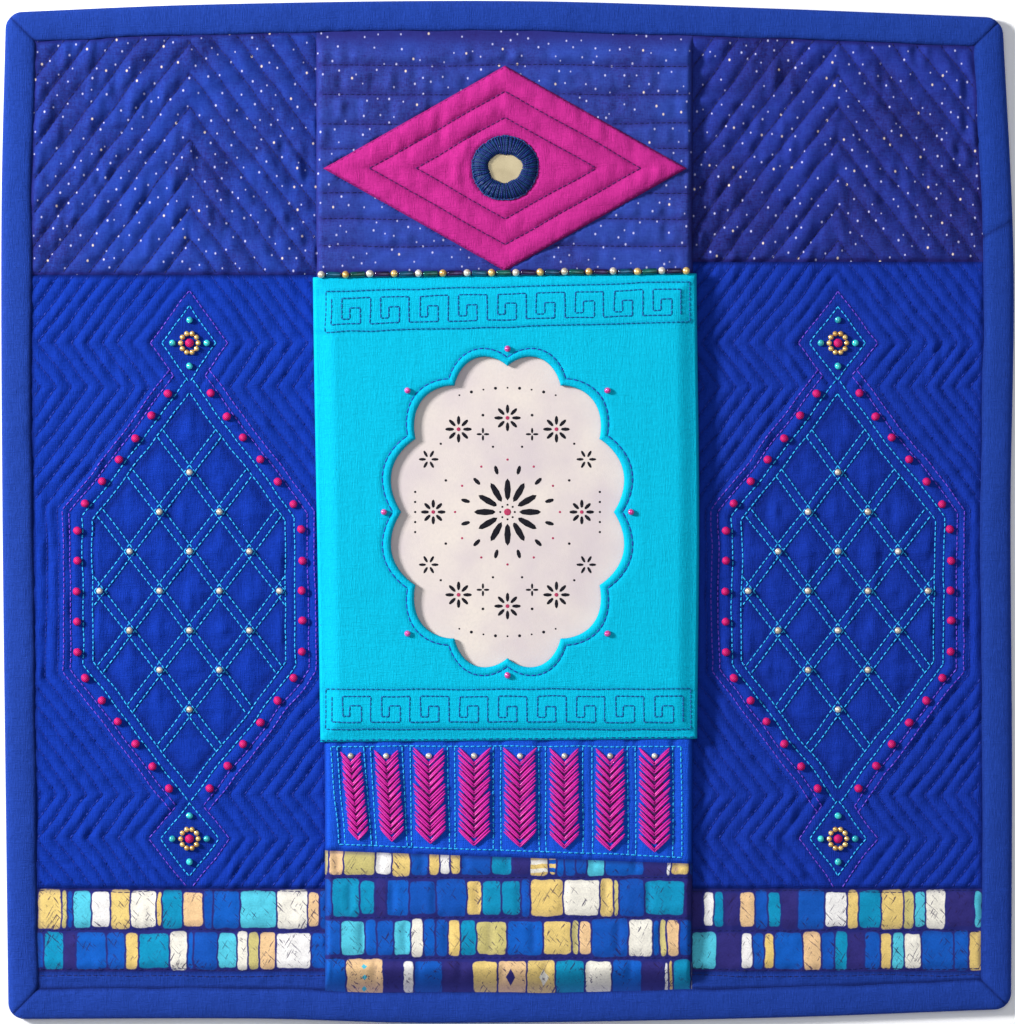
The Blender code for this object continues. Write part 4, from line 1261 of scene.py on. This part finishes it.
def build_side_sewing(threads):
    for side, word in ((-1, "left"), (1, "right")):
        face = height_only(side_face(side))
        shapes = side_shapes(side)
        medallion, badges = shapes[0], shapes[1:]
        blue = field_area(side, PRINT_SEAM + 0.8, STAR_SEAM[side] - 0.4)
        star = field_area(side, STAR_SEAM[side] + 0.6, 190.5)
        sway = hand_sway

        def stitched(name, lines, tone, **options):
            options.setdefault("sway", sway)
            sew(name + "_" + word, lines, face, threads[tone], **options)

        outline = sides_of(ring(medallion, 0.0))
        pair = clip_all(sides_of(ring(medallion, OUTLINE_PAIR)), badges[0], 0.6, inside=False)
        pair = clip_all(pair, badges[1], 0.6, inside=False)
        badge_lines = [line for badge in badges for line in sides_of(ring(badge, 0.0))]
        lattice = lattice_lines(medallion, LATTICE_PAIR) + lattice_lines(medallion, -LATTICE_PAIR)
        stitched("cyan_outlines", clip_all(outline + pair + badge_lines, blue), "cyan", spread=0.45)
        stitched("cyan_lattice", lattice, "cyan", sway=lambda x, y: 0.4 * hand_sway(x, y), seed=9, spread=0.45)
        purple = []
        for out in PURPLE_OUTS:
            lines = sides_of(ring(medallion, out))
            for badge in badges:
                lines = clip_all(lines, badge, BADGE_PURPLE, inside=False)
            purple += lines
        for badge in badges:
            purple += clip_all(sides_of(ring(badge, BADGE_PURPLE)), medallion, PURPLE_OUTS[0], inside=False)
        stitched("violet_lines", clip_all(purple, blue), "violet", seed=11, spread=0.45, width=0.54)
        tone = [line for k in range(2, 28) for line in echo(shapes, ECHO_START + k * ECHO_PITCH)]
        stitched("echo_lines", clip_all(tone, blue), "blue", seed=13, form=FINE_STITCH_FORM, lift=0.02, width=0.44,
                 spread=0.3)
        bands = [line for k in range(1, 24) for line in echo(shapes, k * STAR_PITCH)]
        stitched("star_echo_lines", clip_all(bands, star), "indigo", seed=15, form=FINE_STITCH_FORM, lift=0.02, width=0.42,
                 spread=0.3)

        foot = field_area(side, PLAIN_SEAM - 9.0, PRINT_SEAM)
        rows = []
        for row in (PRINT_SEAM - 0.9, PRINT_MIDDLE, PLAIN_SEAM + 0.9, PLAIN_SEAM - 1.6):
            rows += clip_all([((-210, row), (210, row))], foot)
        stitched("print_rows", rows, "indigo", seed=17, form=FINE_STITCH_FORM, lift=0.02, width=0.4, pitch=2.6)

        knots = clip_all(sides_of(ring(medallion, KNOT_OUT)), badges[0], 4.6, inside=False)
        knots = clip_all(knots, badges[1], 4.6, inside=False)
        dotted("pink_knots_" + word, spaced(knots, 11.6, 0.35, 3), face, 2 * KNOT, 2.2, threads["knot"],
               form=KNOT_FORM, seed=19)
        beads = crossings(medallion)
        dotted("silver_beads_" + word, beads, face, 2 * SILVER_BEAD, 2.2, threads["silver"], seed=21)
        gold, small, hearts = [], [], []
        for badge in badges:
            cx, cy = badge[0]
            hearts.append((cx, cy))
            gold += [(cx + 3.5 * math.cos(a), cy + 3.9 * math.sin(a)) for a in np.arange(10) * math.tau / 10]
            small += [(cx, cy + 9.2), (cx, cy - 9.2), (cx + 6.9, cy), (cx - 6.9, cy)]
        dotted("badge_hearts_" + word, hearts, face, 3.6, 2.4, threads["knot"], form=KNOT_FORM, seed=23)
        dotted("badge_gold_" + word, gold, face, 2.2, 1.9, threads["gold"], seed=25)
        dotted("badge_turquoise_" + word, small, face, 2.7, 2.0, threads["turquoise"], seed=27)


# Sewing on the panel


def line_rows(heights, left=-90.0, right=90.0):
    return [((left, y), (right, y)) for y in heights]


def panel_area(foot, head, inset):
    places = np.array([foot, head])
    left, right = along(PANEL_LEFT, places) + inset, along(PANEL_RIGHT, places) - inset
    return polygon_planes([(left[0], foot), (right[0], foot), (right[1], head), (left[1], head)])


def build_panel_sewing(threads):
    face = height_only(panel_face)
    star = panel_area(96.5, 187.0, 2.2)
    rows = clip_all(line_rows(STAR_LINES), star)
    rows = clip_all(rows, lozenge(), 0.8, inside=False)
    sway = lambda x, y: -0.5 * soft_noise(x, y, 22.0, 51)
    sew("star_rows", rows, face, threads["indigo"], sway=sway, form=FINE_STITCH_FORM, lift=0.02, width=0.42, seed=31,
        spread=0.3)

    cloth = height_only(lozenge_face)
    nested = [line for k in range(1, 3) for line in sides_of(ring(lozenge(), -k * LOZENGE_PITCH))]
    mirror_area = polygon_planes([
        (LOZENGE_X + 13.4 * math.cos(a), LOZENGE_Y + 13.4 * math.sin(a)) for a in np.arange(16) * math.tau / 16
    ])
    nested = clip_all(nested, mirror_area, inside=False)
    sew("lozenge_lines", nested, cloth, threads["plum"], lift=0.06, width=0.5, spread=0.4,
        sway=lambda x, y: -0.35 * soft_noise(x, y, 15.0, 81), seed=33)
    hems = [line for line in sides_of(ring(lozenge(), -0.7))]
    sew("lozenge_hem", hems, cloth, threads["magenta"], lift=0.05, pitch=2.8, gap=1.5, width=0.36, form=FINE_STITCH_FORM,
        seed=35)

    fern_frames(threads, face)
    ferns(threads, face)
    foot = panel_area(-188.0, -141.5, 1.2)
    rows = clip_all(line_rows([row - 0.2 for row in PRINT_ROWS]), foot)
    sew("panel_print_rows", rows, face, threads["indigo"], form=FINE_STITCH_FORM, lift=0.02, width=0.42, pitch=2.6, seed=37)


def frame_foot(x):
    return band_foot(x) + 2.6


def fern_frames(threads, face):
    """Single lines round each fern, with one more line at either end of the band."""
    head = -93.4
    uprights = []
    for c, half, _ in FERN_COLUMNS:
        lean = fern_lean(c)
        for side in (-1, 1):
            x = c + side * (half + 1.3)
            uprights.append(((x - lean, head), (x + lean, float(frame_foot(x)))))
    for x, lean in ((-68.8, 1.5), (69.6, 0.2)):
        uprights.append(((x - lean, head), (x + lean, float(frame_foot(x)))))
    places = np.linspace(-67.3, 69.8, 13)
    ends = [(float(x), float(frame_foot(x))) for x in places]
    rows = list(zip(ends, ends[1:])) + [((-70.3, head), (69.4, head))]
    sway = lambda x, y: 0.3 * soft_noise(x, y, 14.0, 101)
    sew("fern_frames", uprights + rows, face, threads["cyan"], sway=sway, seed=39)


def fern_lean(centre):
    return 1.5 * (1 - ease((centre + 61.0) / 45.0))


def ferns(threads, face):
    """Arms of two strands each, falling to a middle line, from the top down."""
    draw = np.random.default_rng(41)
    centres, runs, widths = [], [], []
    heads, shade_strips = [], []
    for c, half, foot in FERN_COLUMNS:
        lean = fern_lean(c)
        pitch = (FERN_HEAD - 5.2 - foot) / (FERN_ARMS - 1)
        thick = 0.94 + 0.03 * (half - 4.0)
        for row in range(FERN_ARMS):
            y = FERN_HEAD - 5.2 - row * pitch
            middle = c - lean + 2 * lean * row / (FERN_ARMS - 1)
            reach = half * (1.0 + 0.04 * draw.uniform(-1, 1))
            for side in (-1, 1):
                for strand in (-0.5, 0.5):
                    drop = strand * thick * 1.0 + draw.uniform(-0.06, 0.06)
                    outer = np.array([middle + side * reach * (1 + draw.uniform(-0.05, 0.05)), y + 0.72 * half + 1.9 + drop])
                    inner = np.array([middle - side * 0.25, y + drop * 0.9 + draw.uniform(-0.1, 0.1)])
                    place, run = (outer + inner) / 2, inner - outer
                    z = float(face(np.array([place[0]]), np.array([place[1]]))[0])
                    centres.append((place[0], place[1], z + 0.6 + 0.02 * row))
                    runs.append((run[0], run[1], 0.12))
                    widths.append(thick + draw.uniform(-0.06, 0.06))
        heads.append((c - lean, FERN_HEAD - 1.6))
        # Dark plum strips under each fern: partly dye bled from the thread, partly painted shade in the gaps between
        # the arms.
        for share in np.linspace(0, 1, 19):
            shade_strips.append((c + lean * (2 * share - 1), FERN_HEAD - 6.5 + (foot - FERN_HEAD + 10.5) * share, half))
    many("ferns", small_form(7, 6), centres, runs, widths, threads["fern"], flatten=0.85)
    x, y, half = np.array(shade_strips).T
    centres = np.column_stack([x, y, face(x, y) + 0.05])
    runs = np.column_stack([1.35 * half, np.zeros_like(half), np.zeros_like(half)])
    many("fern_painted_shade", small_form(6, 4), centres, runs, 2.6, threads["plum"], flatten=0.14)
    dotted("fern_beads", heads, face, 2 * SILVER_BEAD - 0.2, 2.2, threads["silver"], seed=43)


def build_mirror(threads, mirror):
    """The small mirror, and the worked ring that holds it: a base, spokes wrapped over it and a chained edge."""

    def disc(u, v):
        turn = math.tau * u
        reach = (MIRROR_RADIUS - 0.6) * v
        x, y = LOZENGE_X + reach * np.cos(turn), LOZENGE_Y + reach * np.sin(turn)
        return x, y, 9.9 + 0.12 * (1 - v**2) + 0.02 * soft_noise(x, y, 5.0, 111), np.zeros_like(u)

    mesh = grid_mesh("mirror_glass", 48, 8, disc, wrap=True)
    piece = finish_piece("mirror_glass", mesh, mirror, ["mirror"])
    facing_up(piece.data)

    def opening(turn):
        return 6.5 + 0.55 * np.cos(2 * turn) + 0.28 * np.sin(3 * turn + 0.6) + 0.18 * np.sin(7 * turn)

    def outer(turn):
        return 12.7 + 0.25 * np.sin(2 * turn + 1.0) + 0.18 * np.sin(5 * turn)

    section = ((0.0, 9.9), (0.0, 10.7), (0.12, 11.15), (0.4, 11.35), (0.75, 11.0), (0.93, 10.2), (1.0, 9.2), (0.8, 8.9),
               (0.3, 8.9), (0.0, 9.4))
    shares = np.array([point[0] for point in section])
    heights = np.array([point[1] for point in section])

    def base(u, v):
        turn = math.tau * u
        place = v * (len(section) - 1)
        share = np.interp(place, np.arange(len(section)), shares)
        z = np.interp(place, np.arange(len(section)), heights)
        reach = opening(turn) + (outer(turn) - opening(turn)) * share
        return LOZENGE_X + reach * np.cos(turn), LOZENGE_Y + reach * np.sin(turn), z - 0.25, np.full_like(u, 0.6)

    mesh = grid_mesh("ring_base", 96, len(section) - 1, base, wrap=True)
    piece = finish_piece("ring_base", mesh, threads["teal_dark"], ["mirror_ring"])
    facing_up(piece.data)

    draw = np.random.default_rng(51)
    count = 74
    for name, tone, first in (("ring_spokes_a", "navy", 0), ("ring_spokes_b", "teal_dark", 1)):
        centres, runs, widths = [], [], []
        for k in range(first, count, 2):
            turn = math.tau * (k + draw.uniform(-0.18, 0.18)) / count
            lean = turn + draw.uniform(-0.05, 0.05) + 0.05
            near, far = opening(turn) - 0.25, outer(turn) + 0.1
            steps = ((near, 10.3), (near + 1.0, 11.25), ((near + far) / 2, 11.3), (far - 1.0, 10.6), (far, 9.3))
            for (r0, z0), (r1, z1) in zip(steps, steps[1:]):
                a0 = turn + (lean - turn) * (r0 - near) / (far - near)
                a1 = turn + (lean - turn) * (r1 - near) / (far - near)
                p0 = np.array([LOZENGE_X + r0 * math.cos(a0), LOZENGE_Y + r0 * math.sin(a0), z0])
                p1 = np.array([LOZENGE_X + r1 * math.cos(a1), LOZENGE_Y + r1 * math.sin(a1), z1])
                centres.append((p0 + p1) / 2)
                runs.append((p1 - p0) * 1.35)
                widths.append(0.62 + 0.22 * (r1 - near) / (far - near) + draw.uniform(-0.05, 0.05))
        many(name, small_form(6, 6), centres, runs, widths, threads[tone])
    centres, runs = [], []
    for k in range(60):
        turn = math.tau * k / 60
        reach = outer(turn) + 0.15 + 0.2 * draw.uniform(-1, 1)
        tilt = turn + math.pi / 2 + draw.uniform(-0.35, 0.35)
        centres.append((LOZENGE_X + reach * math.cos(turn), LOZENGE_Y + reach * math.sin(turn), 9.75))
        runs.append((1.7 * math.cos(tilt), 1.7 * math.sin(tilt), 0.0))
    many("ring_chain", small_form(7, 6), centres, runs, 0.75, threads["blue_light"])


def facing_up(mesh):
    """Turns a mesh's faces so that its top faces up."""
    bm = bmesh.new()
    bm.from_mesh(mesh)
    bmesh.ops.recalc_face_normals(bm, faces=bm.faces[:])
    bm.normal_update()
    if max(bm.faces, key=lambda f: f.calc_center_median().z).normal.z < 0:
        bmesh.ops.reverse_faces(bm, faces=bm.faces[:])
    bm.to_mesh(mesh)
    bm.free()


def build_bead_row(threads):
    """Silver and gold beads with dark bugles between, along the head of the pocket front."""
    count, first, last = 16, -74.2, 71.2
    xs = np.linspace(first, last, count)
    y = along(FRONT_TOP, xs) + 1.0
    draw = np.random.default_rng(61)
    face = lambda x, y: np.full_like(x, 8.9)
    for name, tone, start in (("row_silver", "silver", 0), ("row_gold", "gold", 1)):
        picked = [(xs[k], y[k] + draw.uniform(-0.2, 0.2)) for k in range(start, count, 2)]
        dotted(name, picked, face, 3.1, 2.6, threads[tone], seed=63 + start)
    for name, tone, start in (("bugles_teal", "bugle_teal", 0), ("bugles_green", "bugle_green", 1),
                              ("bugles_dark", "bugle_dark", 2)):
        centres, runs = [], []
        for k in range(start, count - 1, 3):
            x = (xs[k] + xs[k + 1]) / 2
            tilt = draw.uniform(-0.06, 0.06)
            centres.append((x, float(along(FRONT_TOP, x)) + 0.9, 9.6))
            runs.append((5.7, 5.7 * tilt, 0.0))
        many(name, bugle_form(), centres, runs, 2.4, threads[tone])
    small = [((xs[k] * s + xs[k + 1] * (1 - s)), y[k]) for k in range(count - 1) for s in (0.2, 0.8)]
    dotted("row_small", small, face, 1.3, 1.5, threads["bugle_dark"], seed=69)


def bugle_form():
    """A short tube of one unit, its ends a little rounded."""
    bm = bmesh.new()
    bmesh.ops.create_cone(bm, cap_ends=True, segments=10, radius1=0.5, radius2=0.5, depth=1.0)
    bmesh.ops.bevel(bm, geom=[e for e in bm.edges if abs(e.verts[0].co.z - e.verts[1].co.z) < 0.01], offset=0.06,
                    segments=1, affect="EDGES")
    verts = np.array([v.co[:] for v in bm.verts])[:, [2, 0, 1]]
    faces = [[v.index for v in f.verts] for f in bm.faces]
    bm.free()
    return verts, faces


# Sewing on the pocket front

# One turn of the Greek key, on a grid four high
KEY_TURN = ((0, 4), (0, 0), (3, 0), (3, 2.5), (1.9, 2.5), (1.9, 0.8), (1.1, 0.8), (1.1, 4), (4, 4))


def key_lines(border_foot, border_head, left, right, turns):
    """The key between two borders."""
    lines = []
    pitch = (right - left) / turns
    for turn in range(turns):
        points = []
        for gx, gy in KEY_TURN:
            x = left + (turn + gx / 4.0) * pitch
            low, high = float(border_at(border_foot, x)), float(border_at(border_head, x))
            points.append((x, low + (high - low) * (0.18 + 0.64 * gy / 4.0)))
        if turn == turns - 1:
            points.append((right, low + (high - low) * 0.18))
        lines += list(zip(points, points[1:]))
    return lines


def build_front_sewing(threads):
    def face(x, y):
        return front_height(x, y)

    sway = lambda x, y: 0.28 * soft_noise(x, y, 9.0, 121)
    borders = []
    for border in KEY_BORDERS:
        borders.append(((-72.5, float(border_at(border, -72.5))), (72.8, float(border_at(border, 72.8)))))
    for k in (0, 2):
        for x in (-72.5, 72.8):
            borders.append(((x, float(border_at(KEY_BORDERS[k], x))), (x, float(border_at(KEY_BORDERS[k + 1], x)))))
    sew("key_borders", borders, face, threads["teal"], sway=sway, lift=0.04, seed=71, pitch=2.0, gap=0.3, width=0.52)
    keys = key_lines(KEY_BORDERS[1], KEY_BORDERS[0], -70.2, 69.2, 9)
    keys += key_lines(KEY_BORDERS[3], KEY_BORDERS[2], -70.0, 69.8, 9)
    sew("key_turns", keys, face, threads["teal"], sway=sway, lift=0.04, seed=73, pitch=1.9, gap=0.06, width=0.66)

    turns = np.linspace(0, 1, SCALLOPS * 12 + 1)
    x, y, _, _ = window_point(turns, 3.1)
    loop = list(zip(zip(x, y), zip(x[1:], y[1:])))
    rim = lambda x, y: np.full_like(x, 11.08)
    sew("window_stitches", loop, rim, threads["edge_blue"], lift=0.06, pitch=2.4, gap=0.45, width=0.6, seed=75)
    eighths = np.arange(8) / 8.0
    x, y, _, _ = window_point(eighths, 6.6)
    dotted("pink_beads", list(zip(x, y)), face, 2.5, 2.2, threads["pink_bead"], seed=77)
    hem = [((-75.2, float(along(FRONT_FOOT, -75)) + 0.8), (74.6, float(along(FRONT_FOOT, 75)) + 0.8))]
    sew("front_hem", hem, face, threads["blue"], pitch=2.6, gap=0.9, width=0.36, lift=0.0, form=FINE_STITCH_FORM, seed=79)


# The page's ornament


def flower(centre, petals, near, far, width, start=0.0):
    """Petals round a middle, each from near to far: their places, runs and widths."""
    rows = []
    for k in range(petals):
        turn = start + math.tau * k / petals
        middle = (near + far) / 2
        rows.append((
            centre[0] + middle * math.cos(turn), centre[1] + middle * math.sin(turn),
            (far - near) * math.cos(turn), (far - near) * math.sin(turn), width,
        ))
    return rows


def dot(x, y, size):
    return (x, y, size, 0.0, size)


def build_ornament(ink, accent):
    """A plain ornament of petals, dots and small lozenges, printed on the page."""
    rows, accents = [], []
    rows += flower((0, 0), 12, 4.6, 13.4, 2.7) + flower((0, 0), 12, 15.4, 19.2, 1.7, math.pi / 12)
    rows += [dot(2.9 * math.cos(a), 2.9 * math.sin(a), 0.9) for a in np.arange(8) * math.tau / 8]
    accents += [dot(0, 0, 3.0)]
    accents += [dot(20.9 * math.cos(a), 20.9 * math.sin(a), 1.0) for a in np.arange(12) * math.tau / 12]
    for sy in (-1, 1):
        for sx in (-1, 0, 1):
            centre = (sx * 19.5, sy * (37.5 - 4.5 * abs(sx)))
            rows += flower(centre, 8, 1.7, 5.4, 1.5)
            accents += [dot(*centre, 1.7)]
        for sx in (-1, 1):
            rows += flower((sx * 9.8, sy * 31.0), 4, 0.3, 2.6, 1.0)
            rows += [dot(sx * 9.8, sy * (38.6), 1.2), dot(sx * 5.8, sy * 26.0, 1.0)]
            rows += flower((sx * 31.4, sy * 21.0), 6, 1.0, 4.0, 1.2)
            rows += [dot(sx * 26.6, sy * 27.2, 1.0), dot(sx * 24.6, sy * 12.6, 1.1)]
        for k in range(9):
            x = -19.2 + 4.8 * k
            rows += [dot(x, sy * (49.5 - 0.008 * x * x), 1.3 if k % 2 else 0.8)]
    for sx in (-1, 1):
        rows += flower((sx * 29.6, 0), 8, 1.6, 5.0, 1.5)
        accents += [dot(sx * 29.6, 0, 1.6)]
        rows += [dot(sx * 36.8, y, 1.0) for y in (-8.0, -4.0, 0.0, 4.0, 8.0)]
    form = small_form(10, 4)
    for name, marks, material in (("page_ornament", rows, ink), ("page_accents", accents, accent)):
        marks = np.array(marks)
        z = page_height(marks[:, 0], marks[:, 1]) + 0.01
        centres = np.column_stack([marks[:, :2], z])
        runs = np.column_stack([marks[:, 2:4], np.zeros(len(marks))])
        flat_many(name, form, centres, runs, marks[:, 4], material)


def flat_many(name, form, centres, runs, widths, material):
    """Marks on the page, each a very thin form."""
    verts, faces = form
    verts = verts * np.array([1.0, 1.0, 0.0]) + np.array([0.0, 0.0, 1.0]) * np.sign(verts[:, 2:3]) * 0.02
    made = many(name, (verts, faces), centres, runs, widths, material)
    return made


# Light, floor and camera


def build_floor():
    bm = bmesh.new()
    bmesh.ops.create_grid(bm, x_segments=1, y_segments=1, size=3.0)
    mesh = bpy.data.meshes.new("floor")
    bm.to_mesh(mesh)
    bm.free()
    mesh.materials.append(floor_finish())
    floor = bpy.data.objects.new("floor", mesh)
    floor.location = (0, 0, -0.0004)
    bpy.context.scene.collection.objects.link(floor)


def aimed(data, place, target=(0, 0, 0)):
    item = bpy.data.objects.new(data.name, data)
    item.location = place
    direction = Vector(target) - Vector(place)
    item.rotation_euler = direction.to_track_quat("-Z", "Y").to_euler()
    bpy.context.scene.collection.objects.link(item)
    return item


def area_light(name, place, size, power, colour=(1, 1, 1), target=(0, 0, 0)):
    data = bpy.data.lights.new(name, "AREA")
    data.shape = "SQUARE"
    data.size = size
    data.energy = power
    data.color = colour
    return aimed(data, place, target)


def build_lights():
    area_light("key", (-1.55, 0.62, 0.92), 0.35, 66.0, (1.0, 0.985, 0.96))
    area_light("overhead", (0.2, 0.2, 2.6), 2.0, 20.0, (0.96, 0.98, 1.0))
    world = bpy.data.worlds.new("soft_room")
    world.use_nodes = True
    world.node_tree.nodes["Background"].inputs["Color"].default_value = (0.93, 0.95, 1.0, 1.0)
    world.node_tree.nodes["Background"].inputs["Strength"].default_value = 0.25
    bpy.context.scene.world = world


def build_camera():
    distance = 2.4
    data = bpy.data.cameras.new("photo_camera")
    data.sensor_width = 36.0
    data.lens = 36.0 * distance / (PHOTO_HEIGHT * MM_PER_PIXEL * MM)
    camera = aimed(data, (0, 0, distance))
    camera.rotation_euler = (0, 0, 0)
    bpy.context.scene.camera = camera
    bpy.context.scene.view_settings.view_transform = "Standard"


def main():
    cloths = {
        "star_left": star_cotton("star_cotton_left", (26, 48, 140), (42, 78, 176), (28, 22, 92)),
        "star_right": star_cotton("star_cotton_right", (30, 40, 128), (44, 70, 166), (28, 18, 82)),
        "star_panel": star_cotton("star_cotton_panel", (38, 56, 144), (54, 84, 176), (38, 32, 104)),
        "blue_left": cotton("blue_cotton_left", (11, 50, 158), (4, 18, 82)),
        "blue_right": cotton("blue_cotton_right", (16, 49, 155), (5, 18, 84)),
        "band": cotton("blue_cotton_band", (21, 78, 200), (8, 32, 116)),
        "binding": cotton("binding_cotton", (28, 60, 150), (10, 20, 76)),
        "magenta": cotton("magenta_cotton", (180, 39, 130), (104, 12, 82), mottle=0.07, relief=0.16),
        "turquoise": cotton("turquoise_cotton", (0, 176, 210), (0, 94, 146), mottle=0.05, relief=0.14),
        "print_side": block_print("side_print", 16.6, -167.0),
        "print_panel": block_print("panel_print", 16.0, -161.8),
    }
    threads = {
        "cyan": thread("cyan_thread", (50, 190, 240), (18, 112, 204)),
        "violet": thread("violet_thread", (116, 76, 216), (66, 38, 160)),
        "blue": thread("blue_thread", (22, 52, 168), (10, 24, 100)),
        "indigo": thread("indigo_thread", (28, 34, 104), (14, 16, 60)),
        "plum": thread("plum_thread", (92, 26, 108), (48, 10, 64)),
        "magenta": thread("magenta_thread", (150, 26, 110), (92, 12, 72)),
        "knot": thread("pink_knot_thread", (210, 16, 112), (146, 6, 80)),
        "fern": thread("fern_thread", (222, 38, 166), (140, 14, 124), roughness=0.36),
        "teal": thread("teal_thread", (0, 104, 166), (0, 74, 138)),
        "edge_blue": thread("edge_blue_thread", (24, 70, 176), (14, 40, 130)),
        "teal_dark": thread("dark_teal_thread", (10, 62, 112), (4, 26, 66)),
        "navy": thread("navy_thread", (22, 44, 126), (8, 16, 66)),
        "blue_light": thread("slate_thread", (40, 78, 140), (18, 36, 88)),
        "silver": bead_finish("silver_bead", (240, 235, 224), (204, 194, 172), 0.5, 0.24),
        "gold": bead_finish("gold_bead", (242, 208, 132), (214, 168, 92), 0.55, 0.24),
        "turquoise": bead_finish("turquoise_bead", (64, 214, 214), (30, 150, 170), 0.1, 0.15),
        "pink_bead": bead_finish("pink_bead", (242, 120, 196), (214, 60, 150), 0.35, 0.14),
        "bugle_teal": bead_finish("teal_bugle", (10, 88, 120), (8, 48, 84), 0.5, 0.12),
        "bugle_green": bead_finish("green_bugle", (10, 104, 92), (8, 60, 60), 0.5, 0.12),
        "bugle_dark": bead_finish("dark_bugle", (52, 24, 88), (20, 16, 52), 0.5, 0.12),
    }
    build_floor()
    build_backing(cloths["blue_right"])
    build_side_fields(cloths)
    build_binding(cloths["binding"])
    build_panel(cloths)
    build_lozenge(cloths["magenta"])
    build_page(page_finish())
    build_front(cloths["turquoise"])
    build_side_sewing(threads)
    build_panel_sewing(threads)
    build_mirror(threads, mirror_finish())
    build_bead_row(threads)
    build_front_sewing(threads)
    build_ornament(
        cotton("ornament_ink", (26, 26, 34), (10, 10, 16), roughness=0.7),
        cotton("ornament_accent", (176, 60, 96), (120, 30, 60), roughness=0.7),
    )
    build_lights()
    build_camera()


main()
